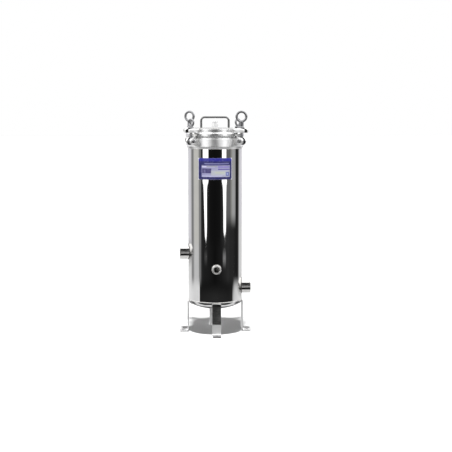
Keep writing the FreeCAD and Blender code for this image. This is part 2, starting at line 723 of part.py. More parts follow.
# Handle: one bent rod standing on the lid.
hz0 = "lid_top"
hmid = minus("handle_top", "handle_rad")
handle = new_body("lid_handle")
path = new_sketch(handle, "handle_path", "XZ_Plane")
hw, hb, hm, lt = V["handle_half"], V["handle_bend"], val(hmid), V["lid_top"]
segs = [
    Part.LineSegment(V3(-hw, lt, 0), V3(-hw, hm - hb, 0)),
    Part.ArcOfCircle(Part.Circle(V3(-hw + hb, hm - hb, 0), V3(0, 0, 1), hb), math.pi / 2, math.pi),
    Part.LineSegment(V3(-hw + hb, hm, 0), V3(hw - hb, hm, 0)),
    Part.ArcOfCircle(Part.Circle(V3(hw - hb, hm - hb, 0), V3(0, 0, 1), hb), 0, math.pi / 2),
    Part.LineSegment(V3(hw, hm - hb, 0), V3(hw, lt, 0)),
]
path.addGeometry(segs, False)
C = Sketcher.Constraint
path.addConstraint([
    C("Tangent", 0, 2, 1, 2), C("Tangent", 1, 1, 2, 1), C("Tangent", 2, 2, 3, 2), C("Tangent", 3, 1, 4, 1),
    C("Vertical", 0), C("Vertical", 4), C("Horizontal", 2)])
for kind, gid, pos, q in (("DistanceX", 0, 1, ("*", -1, "handle_half")), ("DistanceY", 0, 1, "lid_top"),
                          ("DistanceX", 4, 2, "handle_half"), ("DistanceY", 4, 2, "lid_top"), ("DistanceY", 2, 1, hmid)):
    cid = path.addConstraint(C(kind, -1, 1, gid, pos, val(q)))
    path.setExpression("Constraints[%d]" % cid, exp(q))
for gid in (1, 3):
    cid = path.addConstraint(C("Radius", gid, V["handle_bend"]))
    path.setExpression("Constraints[%d]" % cid, "Dims.handle_bend")
ring_sk = new_sketch(handle, "handle_section", "XY_Plane", "lid_top")
add_circle(ring_sk, ("*", -1, "handle_half"), 0, "handle_rad")
pipe = handle.newObject("PartDesign::AdditivePipe", "handle_rod")
pipe.Profile = ring_sk
pipe.Spine = path
node(handle, "lid_handle")

vent = new_body("vent_socket")
sk = new_sketch(vent, "vent_profile", "XZ_Plane")
add_outline(sk, [(6.5, plus("lid_top", 0.0)), ("vent_rad", plus("lid_top", 0.0)), ("vent_rad", minus("vent_high", 1.0)), (minus("vent_rad", 1.0), "vent_high"), (6.5, "vent_high")])
revolve(vent, sk, "vent_turn")
node(vent, "vent_socket")
hexp = doc.addObject("Part::Prism", "vent_plug_head")
hexp.Polygon = 6
hexp.Circumradius = 10.4
bind(hexp, "Height", minus("vent_plug_high", "vent_high"))
hexp.Placement = Pl(V3(0, 0, V["vent_high"]), Rot())
stem = cyl("vent_plug_stem", 6.48, 14.0, V3(0, 0, V["vent_high"] - 13.0))
node(fuse("vent_plug", [hexp, stem]), "vent_plug")

# ---------------------------------------------------------------- swing bolts, washers and ring nuts
RING_TURN = {"front_right": 90.0, "rear_left": 60.0, "front_left": 45.0, "rear_right": 135.0}
for corner in CORNERS:
    name, turn = corner
    short = name in SHORT
    r = around(turn)
    at = r.multVec(V3(V["bolt_circle"], 0, 0))
    tang = r.multiply(Rot(V3(1, 0, 0), -90))
    piv = at + V3(0, 0, V["pivot_high"])
    eye = cyl("eye_" + name, "eye_rad", "eye_wide", piv + r.multVec(V3(0, -V["eye_wide"] / 2, 0)), tang)
    shank = cyl("shank_" + name, "shank_rad", minus("shank_short" if short else "shank_tall", "pivot_high"), piv)
    bore = cyl("eye_bore_" + name, "eye_hole", plus("eye_wide", 2), piv + r.multVec(V3(0, -V["eye_wide"] / 2 - 1, 0)), tang)
    bolt = cut("swing_bolt_" + name, fuse("bolt_raw_" + name, [eye, shank]), bore)
    node(bolt, "swing_bolt_" + name)
    seat_at = at + V3(0, 0, V["seat_high"])
    wash = cut("washer_" + name, cyl("washer_disc_" + name, "washer_rad", "washer_thick", seat_at),
               cyl("washer_hole_" + name, plus("shank_rad", 0.3), plus("washer_thick", 2), seat_at - V3(0, 0, 1)))
    node(wash, "washer_" + name)
    nut_at = seat_at + V3(0, 0, V["washer_thick"])
    tall = "nut_short" if short else "nut_tall"
    mid, sec = ("ring_mid_low", "ring_sec_low") if short else ("ring_mid", "ring_sec")
    barrel = cyl("nut_barrel_" + name, "nut_rad", tall, nut_at)
    cone = doc.addObject("Part::Cone", "nut_collar_" + name)
    cone.Radius1 = 10.6
    cone.Radius2 = 9.0
    cone.Height = 2.4
    cone.Placement = Pl(nut_at, Rot())
    ringz = val(tall) + val(mid) + (1.1 if short else -1.0)
    torus = doc.addObject("Part::Torus", "nut_ring_" + name)
    bind(torus, "Radius1", mid)
    bind(torus, "Radius2", sec)
    torus.Placement = Pl(nut_at + V3(0, 0, ringz), Rot(V3(0, 0, 1), RING_TURN[name] - 90).multiply(Rot(V3(1, 0, 0), 90)))
    raw = fuse("nut_raw_" + name, [barrel, cone, torus])
    nbore = cyl("nut_bore_" + name, "nut_bore", (val("shank_short" if short else "shank_tall") - V["seat_high"] - V["washer_thick"]) + 1.5, nut_at - V3(0, 0, 1))
    node(cut("ring_nut_" + name, raw, nbore), "ring_nut_" + name)

# ---------------------------------------------------------------- checks and export
doc.recompute()
bad = []
for o in doc.Objects:
    if any(s in ("Invalid", "Error") for s in o.State):
        bad.append("%s %s" % (o.Name, o.State))
for name, o in NODES:
    if o.Shape.isNull() or not o.Shape.isValid() or not o.Shape.Solids:
        bad.append("shape " + name)
if bad:
    raise RuntimeError("; ".join(bad))
if len({n for n, _ in NODES}) != len(NODES) or len(NODES) > 60:
    raise RuntimeError("node names")
for name, o in NODES:
    shp = o.Shape
    shp.exportStep("parts/%s.step" % name)
    bb = shp.BoundBox
    print("%-26s solids %2d  x %7.1f %7.1f  y %7.1f %7.1f  z %7.1f %7.1f  vol %.1f cm3" % (
        name, len(shp.Solids), bb.XMin, bb.XMax, bb.YMin, bb.YMax, bb.ZMin, bb.ZMax, shp.Volume / 1000))
print(len(NODES), "nodes")
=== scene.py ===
import bpy
import bmesh
import math
import random
from mathutils import Matrix, Vector


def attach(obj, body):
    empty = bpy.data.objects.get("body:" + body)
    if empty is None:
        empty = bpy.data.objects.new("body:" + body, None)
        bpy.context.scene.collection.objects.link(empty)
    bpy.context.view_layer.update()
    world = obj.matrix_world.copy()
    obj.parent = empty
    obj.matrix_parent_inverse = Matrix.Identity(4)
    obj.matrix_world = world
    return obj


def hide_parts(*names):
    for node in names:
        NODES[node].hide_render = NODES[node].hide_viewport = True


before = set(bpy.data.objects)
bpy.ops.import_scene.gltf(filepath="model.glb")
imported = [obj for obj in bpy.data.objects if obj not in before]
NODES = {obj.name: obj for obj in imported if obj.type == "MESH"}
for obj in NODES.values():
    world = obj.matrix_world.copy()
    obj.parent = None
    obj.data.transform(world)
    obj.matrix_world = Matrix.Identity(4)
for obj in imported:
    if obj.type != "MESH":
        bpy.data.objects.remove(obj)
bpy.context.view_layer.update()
SCENE = bpy.context.scene
MM = 0.001
RAD = math.radians

# ------------------------------------------------------------------ camera
CAM_AZ, CAM_EL, CAM_DIST = RAD(-3.6264), RAD(6.3899), 4.3
side = Vector((math.cos(CAM_AZ), math.sin(CAM_AZ), 0.0))
look = -Vector((math.sin(CAM_AZ) * math.cos(CAM_EL), -math.cos(CAM_AZ) * math.cos(CAM_EL), math.sin(CAM_EL)))
aim = Vector((0.0, 0.0, 0.43686)) + side * 0.04505
cam_data = bpy.data.cameras.new("camera")
cam_data.lens = 83.18
cam_data.sensor_width = 36.0
cam_data.clip_end = 200.0
cam = bpy.data.objects.new("camera", cam_data)
cam.location = aim - look * CAM_DIST
cam.rotation_euler = look.to_track_quat("-Z", "Y").to_euler()
SCENE.collection.objects.link(cam)
SCENE.camera = cam
SCENE.view_settings.view_transform = "Standard"
SCENE.view_settings.look = "None"


# ------------------------------------------------------------------ node helpers
class Graph:
    """Short hand for building a node tree."""

    def __init__(self, tree):
        self.tree = tree
        tree.nodes.clear()

    def add(self, kind, **props):
        n = self.tree.nodes.new(kind)
        for k, v in props.items():
            setattr(n, k, v)
        return n

    def link(self, a, b):
        self.tree.links.new(a, b)

    def put(self, socket, value):
        if isinstance(value, bpy.types.NodeSocket):
            self.link(value, socket)
        else:
            socket.default_value = value

    def math(self, op, a, b=0.0, c=0.0, clamp=False):
        n = self.add("ShaderNodeMath", operation=op, use_clamp=clamp)
        self.put(n.inputs[0], a)
        self.put(n.inputs[1], b)
        self.put(n.inputs[2], c)
        return n.outputs[0]

    def span(self, value, a, b, lo=0.0, hi=1.0, kind="SMOOTHSTEP"):
        n = self.add("ShaderNodeMapRange", interpolation_type=kind)
        self.put(n.inputs["Value"], value)
        n.inputs["From Min"].default_value = a
        n.inputs["From Max"].default_value = b
        n.inputs["To Min"].default_value = lo
        n.inputs["To Max"].default_value = hi
        return n.outputs[0]

    def mixf(self, f, a, b):
        n = self.add("ShaderNodeMix", data_type="FLOAT")
        self.put(n.inputs[0], f)
        self.put(n.inputs[2], a)
        self.put(n.inputs[3], b)
        return n.outputs[0]

    def mixc(self, f, a, b, blend="MIX"):
        n = self.add("ShaderNodeMix", data_type="RGBA", blend_type=blend)
        self.put(n.inputs[0], f)
        for i, v in ((6, a), (7, b)):
            if isinstance(v, (tuple, list)):
                v = tuple(v) + ((1.0,) if len(v) == 3 else ())
            self.put(n.inputs[i], v)
        return n.outputs[2]

    def coords(self, scale=(1, 1, 1), rot=(0, 0, 0), what="Object"):
        t = self.add("ShaderNodeTexCoord")
        m = self.add("ShaderNodeMapping")
        m.inputs["Scale"].default_value = scale
        m.inputs["Rotation"].default_value = rot
        self.link(t.outputs[what], m.inputs["Vector"])
        return m.outputs[0]

    def noise(self, vec, scale=5.0, detail=3.0, rough=0.5, distort=0.0):
        n = self.add("ShaderNodeTexNoise")
        self.link(vec, n.inputs["Vector"])
        n.inputs["Scale"].default_value = scale
        n.inputs["Detail"].default_value = detail
        n.inputs["Roughness"].default_value = rough
        n.inputs["Distortion"].default_value = distort
        return n.outputs["Fac"]

    def bump(self, height, distance, strength=1.0, normal=None):
        n = self.add("ShaderNodeBump")
        n.inputs["Strength"].default_value = strength
        n.inputs["Distance"].default_value = distance
        self.link(height, n.inputs["Height"])
        if normal is not None:
            self.link(normal, n.inputs["Normal"])
        return n.outputs[0]


def new_material(name):
    mat = bpy.data.materials.new(name)
    mat.use_nodes = True
    g = Graph(mat.node_tree)
    out = g.add("ShaderNodeOutputMaterial")
    sh = g.add("ShaderNodeBsdfPrincipled")
    g.link(sh.outputs[0], out.inputs["Surface"])
    return mat, g, sh


def steel(name, base=(0.80, 0.80, 0.80), rough=0.05, spread=0.03, wave=0.0, wave_scale=14.0, lines=None,
          line_depth=0.0, turned=0.0, aniso=0.0, smudge=0.03, pits=0.0, tint=None, tint_scale=60.0, satin_below=None, heat=(),
          edge=None):
    """Stainless steel: slow waviness, fine finish lines in one direction, handling marks and pits."""
    mat, g, sh = new_material(name)
    sh.inputs["Metallic"].default_value = 1.0
    world = g.coords()
    marks = g.noise(world, 9.0, 5.0, 0.62, 0.6)
    fine = g.noise(world, 160.0, 4.0, 0.6)
    shade = g.span(marks, 0.3, 0.72)
    low = tuple(c * 0.93 for c in base)
    colour = g.mixc(shade, low, base)
    if tint is not None:
        colour = g.mixc(g.math("MULTIPLY", g.span(g.noise(world, tint_scale, 3.0), 0.45, 0.75), 0.65), colour, tint)
    rough_out = g.math("ADD", rough, g.math("MULTIPLY", g.math("SUBTRACT", fine, 0.5), spread))
    rough_out = g.math("ADD", rough_out, g.math("MULTIPLY", g.span(marks, 0.52, 0.74), smudge))
    normal = None
    if wave:
        normal = g.bump(g.noise(g.coords((1.0, 1.0, 0.35)), wave_scale, 2.0, 0.4), wave)
    if lines is not None:
        streak = g.noise(g.coords(lines), 1.0, 3.0, 0.7)
        normal = g.bump(streak, line_depth, 1.0, normal)
        rough_out = g.math("ADD", rough_out, g.math("MULTIPLY", g.span(streak, 0.35, 0.7), spread))
        colour = g.mixc(g.math("MULTIPLY", g.span(streak, 0.5, 0.75), 0.25), colour, tuple(c * 0.8 for c in base))
    if turned:
        # lathe marks: shallow rings round the vessel axis
        t = g.add("ShaderNodeTexCoord")
        sep = g.add("ShaderNodeSeparateXYZ")
        g.link(t.outputs["Object"], sep.inputs[0])
        rr = g.math("SQRT", g.math("ADD", g.math("MULTIPLY", sep.outputs[0], sep.outputs[0]),
                                   g.math("MULTIPLY", sep.outputs[1], sep.outputs[1])))
        pos = g.math("MULTIPLY", g.math("ADD", rr, sep.outputs[2]), 1900.0)
        comb = g.add("ShaderNodeCombineXYZ")
        g.link(pos, comb.inputs[0])
        g.link(g.math("MULTIPLY", g.math("SUBTRACT", rr, sep.outputs[2]), 900.0), comb.inputs[1])
        groove = g.noise(comb.outputs[0], 1.0, 2.0, 0.7)
        normal = g.bump(groove, turned, 1.0, normal)
        rough_out = g.math("ADD", rough_out, g.math("MULTIPLY", g.math("SUBTRACT", groove, 0.5), spread))
    if pits:
        v = g.add("ShaderNodeTexVoronoi")
        v.inputs["Scale"].default_value = 700.0
        g.link(world, v.inputs["Vector"])
        normal = g.bump(v.outputs["Distance"], pits, 0.6, normal)
    if satin_below is not None:
        # below this height the bar is rougher, and its colour is made lighter: a painted highlight for the light the
        # foot zone catches
        t = g.add("ShaderNodeTexCoord")
        sep = g.add("ShaderNodeSeparateXYZ")
        g.link(t.outputs["Object"], sep.inputs[0])
        level = g.math("ADD", sep.outputs[2], g.math("MULTIPLY", g.math("SUBTRACT", marks, 0.5), 0.004))
        dull = g.span(level, satin_below - 0.003, satin_below + 0.003, 1.0, 0.0)
        rough_out = g.mixf(dull, rough_out, g.math("ADD", 0.5, g.math("MULTIPLY", fine, 0.12)))
        colour = g.mixc(dull, colour, g.mixc(fine, (0.76, 0.76, 0.76), (0.86, 0.86, 0.86)))
    for side, high, near, far, dull_to, dark in heat:
        # brushed zone round a welded port, measured from the port's axis
        t = g.add("ShaderNodeTexCoord")
        sep = g.add("ShaderNodeSeparateXYZ")
        g.link(t.outputs["Object"], sep.inputs[0])
        dz = g.math("SUBTRACT", sep.outputs[2], high)
        reach = g.math("SQRT", g.math("ADD", g.math("MULTIPLY", dz, dz), g.math("MULTIPLY", sep.outputs[1], sep.outputs[1])))
        on_side = g.math("GREATER_THAN", g.math("MULTIPLY", sep.outputs[0], side), 0.0)
        ragged = g.math("ADD", reach, g.math("MULTIPLY", g.math("SUBTRACT", g.noise(world, 55.0, 4.0), 0.5), 0.004))
        zone = g.math("MULTIPLY", g.span(ragged, near, far, 1.0, 0.0), on_side)
        rough_out = g.mixf(zone, rough_out, g.math("ADD", dull_to, g.math("MULTIPLY", fine, 0.08)))
        colour = g.mixc(zone, colour, dark)
    g.link(colour, sh.inputs["Base Color"])
    g.link(g.math("MAXIMUM", rough_out, 0.015), sh.inputs["Roughness"])
    if edge is not None:
        sh.inputs["Specular Tint"].default_value = (edge, edge, edge, 1.0)
    if aniso:
        sh.inputs["Anisotropic"].default_value = aniso
        sh.inputs["Anisotropic Rotation"].default_value = 0.25
        tan = g.add("ShaderNodeTangent", direction_type="RADIAL", axis="Z")
        g.link(tan.outputs[0], sh.inputs["Tangent"])
    if normal is not None:
        g.link(normal, sh.inputs["Normal"])
    return mat


M_MIRROR = steel("polished_tube", (0.83, 0.83, 0.83), 0.022, 0.006, wave=3.0e-5, wave_scale=15.0,
                 lines=(900.0, 900.0, 14.0), line_depth=6.0e-7, smudge=0.010,
                 heat=((-1.0, 0.333, 0.044, 0.074, 0.22, (0.54, 0.535, 0.525)), (1.0, 0.189, 0.044, 0.074, 0.22, (0.54, 0.535, 0.525))))
M_HEAD = steel("polished_head", (0.82, 0.82, 0.82), 0.07, 0.02, wave=5.0e-5, wave_scale=22.0, smudge=0.03)
M_TURNED = steel("turned_flange", (0.97, 0.97, 0.97), 0.39, 0.05, wave=0.0, turned=4.0e-6, aniso=0.95, smudge=0.02)
M_LID = steel("turned_lid", (0.80, 0.80, 0.80), 0.27, 0.05, wave=0.0, turned=4.0e-6, aniso=0.95, smudge=0.03)
M_EAR = steel("satin_plate", (0.96, 0.96, 0.96), 0.36, 0.06, lines=(90.0, 90.0, 1500.0), line_depth=3.0e-6, smudge=0.05)
M_BAR = steel("drawn_bar", (0.78, 0.78, 0.77), 0.07, 0.03, wave=4.0e-5, wave_scale=30.0,
              lines=(1400.0, 1400.0, 18.0), line_depth=1.5e-6, smudge=0.03, satin_below=0.046)
# dark colour for the foot-hole walls and the toe end faces: painted shade
M_TOE = steel("hole_and_toe_painted_shade", (0.30, 0.30, 0.30), 0.22, 0.08, lines=(900.0, 900.0, 900.0), line_depth=2.0e-6, smudge=0.05)
# rougher finish with a lighter colour for the leg's side, inner and top faces: the lighter colour is a painted
# highlight
M_BAR_EDGE = steel("edge_finish_and_painted_highlight", (0.93, 0.93, 0.93), 0.52, 0.12, lines=(300.0, 900.0, 60.0), line_depth=5.0e-6, smudge=0.04)
M_LUG = steel("lug_plate", (0.94, 0.94, 0.94), 0.28, 0.06, lines=(90.0, 90.0, 1200.0), line_depth=4.0e-6, smudge=0.06)
M_ROD = steel("bright_rod", (0.27, 0.27, 0.27), 0.13, 0.04, lines=(30.0, 900.0, 900.0), line_depth=2.0e-6, smudge=0.05)
M_PIPE = steel("pipe_mill", (0.76, 0.75, 0.74), 0.10, 0.03, lines=(25.0, 1200.0, 1200.0), line_depth=3.0e-6, smudge=0.04)
M_SOCKET = steel("machined_socket", (0.80, 0.79, 0.78), 0.42, 0.10, lines=(300.0, 60.0, 300.0), line_depth=4.0e-6, smudge=0.06)
# darker colour and low edge tint for the lid's upward top face: painted shade
M_LID_TOP = steel("lid_top_painted_shade", (0.46, 0.46, 0.46), 0.28, 0.06, turned=4.0e-6, smudge=0.06, edge=0.30)
# scuffed, pitted finish with a darker colour on the feet's top faces: the darker colour is painted shade
M_FOOT_TOP = steel("foot_top_scuffs_and_painted_shade", (0.46, 0.46, 0.46), 0.48, 0.14, lines=(300.0, 900.0, 60.0), line_depth=5.0e-6, smudge=0.06, pits=1.0e-5)
# near-black colour for the faces inside the lug and ear slots: painted shade
M_SLOT = steel("slot_painted_shade", (0.085, 0.083, 0.08), 0.42, 0.12, lines=(90.0, 90.0, 900.0), line_depth=4.0e-6, smudge=0.06)
M_VENT = steel("blasted_fitting", (0.96, 0.96, 0.96), 0.62, 0.12, smudge=0.05, pits=1.0e-5)
M_CAST = steel("forged_fastener", (0.30, 0.30, 0.31), 0.30, 0.10, wave=5.0e-5, wave_scale=90.0, smudge=0.10, pits=6.0e-6)
M_THREAD = steel("rolled_thread", (0.52, 0.52, 0.52), 0.24, 0.08, smudge=0.08, tint=(0.36, 0.34, 0.33))
M_PIN = steel("pin_steel", (0.34, 0.34, 0.35), 0.24, 0.06, turned=3.0e-6, smudge=0.06)
M_WELD = steel("weld_metal", (0.46, 0.45, 0.44), 0.30, 0.10, wave=4.0e-5, wave_scale=240.0, smudge=0.08,
               tint=(0.30, 0.28, 0.27), tint_scale=90.0)
M_WELD_TINTED = steel("tinted_weld", (0.13, 0.125, 0.12), 0.34, 0.12, wave=4.0e-5, wave_scale=240.0, smudge=0.10,
                      tint=(0.07, 0.068, 0.066), tint_scale=90.0)
M_SEAM = steel("dressed_weld", (0.80, 0.79, 0.77), 0.26, 0.08, wave=4.0e-5, wave_scale=200.0, smudge=0.06,
               tint=(0.60, 0.57, 0.54), tint_scale=70.0)
# near-black colour for the socket bore and its thread: painted shade inside the bore
M_BORE = steel("bore_painted_shade", (0.05, 0.048, 0.045), 0.34, 0.10, smudge=0.06, tint=(0.020, 0.018, 0.017), tint_scale=80.0, edge=0.05)
M_INNER = steel("inner_sheet", (0.66, 0.66, 0.65), 0.34, 0.08, lines=(700.0, 40.0, 700.0), line_depth=4.0e-6, smudge=0.08)


def rubber():
    mat, g, sh = new_material("seal_rubber")
    w = g.coords()
    n = g.noise(w, 260.0, 5.0, 0.6)
    g.link(g.mixc(g.span(n, 0.3, 0.75), (0.012, 0.012, 0.013), (0.045, 0.044, 0.043)), sh.inputs["Base Color"])
    g.link(g.math("ADD", 0.42, g.math("MULTIPLY", n, 0.25)), sh.inputs["Roughness"])
    g.link(g.bump(g.noise(w, 900.0, 3.0), 2.0e-5, 0.6), sh.inputs["Normal"])
    return mat


def fibre():
    """Wound filter fibre: yarn crossing at a low angle round each cartridge."""
    mat, g, sh = new_material("wound_fibre")
    a = g.noise(g.coords((260.0, 260.0, 900.0), (0.35, 0.2, 0.0)), 1.0, 4.0, 0.6)
    b = g.noise(g.coords((260.0, 260.0, 900.0), (-0.35, -0.2, 0.0)), 1.0, 4.0, 0.6)
    h = g.math("MAXIMUM", a, b)
    dirt = g.noise(g.coords(), 14.0, 4.0, 0.6)
    colour = g.mixc(g.span(h, 0.42, 0.68), (0.62, 0.60, 0.55), (0.88, 0.87, 0.83))
    g.link(g.mixc(g.math("MULTIPLY", g.span(dirt, 0.45, 0.8), 0.3), colour, (0.70, 0.66, 0.56)), sh.inputs["Base Color"])
    g.link(g.math("ADD", 0.75, g.math("MULTIPLY", a, 0.2)), sh.inputs["Roughness"])
    g.link(g.bump(h, 4.0e-4, 0.9), sh.inputs["Normal"])
    return mat


def plastic():
    mat, g, sh = new_material("moulded_cap")
    w = g.coords()
    n = g.noise(w, 30.0, 4.0)
    g.link(g.mixc(g.span(n, 0.3, 0.7), (0.78, 0.78, 0.76), (0.87, 0.87, 0.85)), sh.inputs["Base Color"])
    g.link(g.math("ADD", 0.36, g.math("MULTIPLY", g.noise(w, 500.0, 3.0), 0.16)), sh.inputs["Roughness"])
    g.link(g.bump(g.noise(w, 1200.0, 2.0), 1.5e-5, 0.5), sh.inputs["Normal"])
    return mat


M_RUBBER, M_FIBRE, M_PLASTIC = rubber(), fibre(), plastic()


def plate_material():
    """Printed rating plate, blank: white edge, blue frame, header band, empty fields and a plain block."""
    mat, g, sh = new_material("rating_plate_print")
    uv = g.add("ShaderNodeUVMap", uv_map="plate")
    sep = g.add("ShaderNodeSeparateXYZ")
    g.link(uv.outputs[0], sep.inputs[0])
    u, v = sep.outputs[0], sep.outputs[1]

    def area(u0, u1, v0, v1, soft=0.006):
        a = g.span(u, u0 - soft, u0 + soft)
        b = g.span(u, u1 - soft, u1 + soft, 1.0, 0.0)
        c = g.span(v, v0 - soft * 1.6, v0 + soft * 1.6)
        d = g.span(v, v1 - soft * 1.6, v1 + soft * 1.6, 1.0, 0.0)
        return g.math("MULTIPLY", g.math("MULTIPLY", a, b), g.math("MULTIPLY", c, d))

    def round_area(u0, u1, v0, v1, rad, soft=0.010):
        # distance to a rounded rectangle, in units of the plate's height
        ax = 1.62
        du = g.math("MULTIPLY", g.math("SUBTRACT", g.math("ABSOLUTE", g.math("SUBTRACT", u, (u0 + u1) / 2)), (u1 - u0) / 2), ax)
        dv = g.math("SUBTRACT", g.math("ABSOLUTE", g.math("SUBTRACT", v, (v0 + v1) / 2)), (v1 - v0) / 2)
        du, dv = g.math("ADD", du, rad), g.math("ADD", dv, rad)
        px, py = g.math("MAXIMUM", du, 0.0), g.math("MAXIMUM", dv, 0.0)
        d = g.math("SUBTRACT", g.math("SQRT", g.math("ADD", g.math("MULTIPLY", px, px), g.math("MULTIPLY", py, py))), rad)
        return g.span(d, -soft, soft, 1.0, 0.0)

    grain = g.noise(g.coords(), 120.0, 4.0, 0.6)
    white = (0.80, 0.80, 0.86)
    deep = g.mixc(g.span(v, 0.80, 0.92), (0.020, 0.020, 0.120), (0.022, 0.022, 0.290))
    colour = g.mixc(round_area(0.014, 0.986, 0.0, 1.0, 0.085), white, deep)
    field = g.mixc(g.span(u, 0.1, 0.9), (0.30, 0.29, 0.50), (0.40, 0.41, 0.55))
    colour = g.mixc(area(0.115, 0.925, 0.125, 0.66), colour, field)
    for box_, tone in (((0.20, 0.90, 0.715, 0.765), (0.17, 0.17, 0.38)),
                       ((0.22, 0.62, 0.725, 0.755), (0.24, 0.24, 0.46)),
                       ((0.125, 0.50, 0.575, 0.635), (0.60, 0.59, 0.78)),
                       ((0.26, 0.56, 0.590, 0.640), (0.33, 0.33, 0.40)),
                       ((0.58, 0.92, 0.530, 0.640), (0.27, 0.24, 0.52)),
                       ((0.13, 0.395, 0.300, 0.520), (0.060, 0.050, 0.170)),
                       ((0.19, 0.23, 0.330, 0.470), (0.12, 0.11, 0.27)),
                       ((0.58, 0.92, 0.450, 0.500), (0.11, 0.08, 0.36)),
                       ((0.39, 0.915, 0.200, 0.425), (0.46, 0.48, 0.54)),
                       ((0.50, 0.78, 0.285, 0.365), (0.50, 0.53, 0.47)),
                       ((0.80, 0.905, 0.170, 0.360), (0.15, 0.17, 0.42)),
                       ((0.83, 0.87, 0.220, 0.300), (0.36, 0.42, 0.66)),
                       ((0.125, 0.70, 0.135, 0.190), (0.50, 0.50, 0.72))):
        colour = g.mixc(area(*box_), colour, tone)
    colour = g.mixc(g.math("MULTIPLY", g.span(grain, 0.4, 0.8), 0.12), colour, (0.55, 0.55, 0.62))
    g.link(colour, sh.inputs["Base Color"])
    sh.inputs["Metallic"].default_value = 0.0
    sh.inputs["Specular IOR Level"].default_value = 0.45
    g.link(g.math("ADD", 0.24, g.math("MULTIPLY", grain, 0.14)), sh.inputs["Roughness"])
    g.link(g.bump(grain, 1.5e-5, 0.5), sh.inputs["Normal"])
    return mat


M_PLATE = plate_material()


# ------------------------------------------------------------------ mesh helpers (millimetres in, metres out)
def finish_mesh(me, mat, angle=None):
    me.materials.clear()
    me.materials.append(mat)
    me.polygons.foreach_set("use_smooth", [True] * len(me.polygons))
    if angle is not None:
        me.set_sharp_from_angle(angle=RAD(angle))
    me.update()


def place(name, me, body, replaces=()):
    ob = bpy.data.objects.new(name, me)
    SCENE.collection.objects.link(ob)
    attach(ob, body)
    if replaces:
        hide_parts(*replaces)
    return ob


def raw_mesh(verts, faces, matrix=None, name="m"):
    me = bpy.data.meshes.new(name)
    vv = [Vector(v) for v in verts]
    if matrix is not None:
        vv = [matrix @ v for v in vv]
    me.from_pydata([v * MM for v in vv], [], faces)
    me.update()
    return me


def profile(points, closed=True, step=6.0):
    """Runs of (point, normal) from corner points (r, z, fillet). The solid lies to the left of the travel."""
    n = len(points)
    pts = [Vector((p[0], p[1])) for p in points]
    fil = [p[2] if len(p) > 2 else 0.0 for p in points]
    start, end, arcs = list(pts), list(pts), [None] * n
    for i in range(n):
        if fil[i] <= 0 or (not closed and i in (0, n - 1)):
            continue
        a, b, c = pts[i - 1], pts[i], pts[(i + 1) % n]
        d1, d2 = (b - a).normalized(), (c - b).normalized()
        turn = math.atan2(d1.x * d2.y - d1.y * d2.x, d1.dot(d2))
        t = fil[i] * math.tan(abs(turn) / 2)
        start[i], end[i] = b - d1 * t, b + d2 * t
        arcs[i] = (d1, turn, fil[i])
    runs = []
    for i in range(n):
        if arcs[i] is not None:
            d1, turn, rad = arcs[i]
            k = max(3, int(abs(math.degrees(turn)) / step) + 1)
            sgn = 1.0 if turn > 0 else -1.0
            n1 = Vector((d1.y, -d1.x))
            centre = start[i] - n1 * rad * sgn
            ps, ns = [], []
            for j in range(k + 1):
                w = turn * j / k
                nn = Vector((n1.x * math.cos(w) - n1.y * math.sin(w), n1.x * math.sin(w) + n1.y * math.cos(w)))
                ps.append(centre + nn * rad * sgn)
                ns.append(nn)
            runs.append((ps, ns))
        if not closed and i == n - 1:
            break
        a, b = end[i], start[(i + 1) % n]
        if (b - a).length > 1e-6:
            d = (b - a).normalized()
            nn = Vector((d.y, -d.x))
            k = max(1, int((b - a).length / 60.0))
            runs.append(([a.lerp(b, j / k) for j in range(k + 1)], [nn] * (k + 1)))
    return runs


def arc_run(cr, cz, rad, a0, a1, outward=True, k=24):
    ps, ns = [], []
    for j in range(k + 1):
        w = RAD(a0 + (a1 - a0) * j / k)
        d = Vector((math.cos(w), math.sin(w)))
        ps.append(Vector((cr, cz)) + d * rad)
        ns.append(d if outward else -d)
    return ps, ns


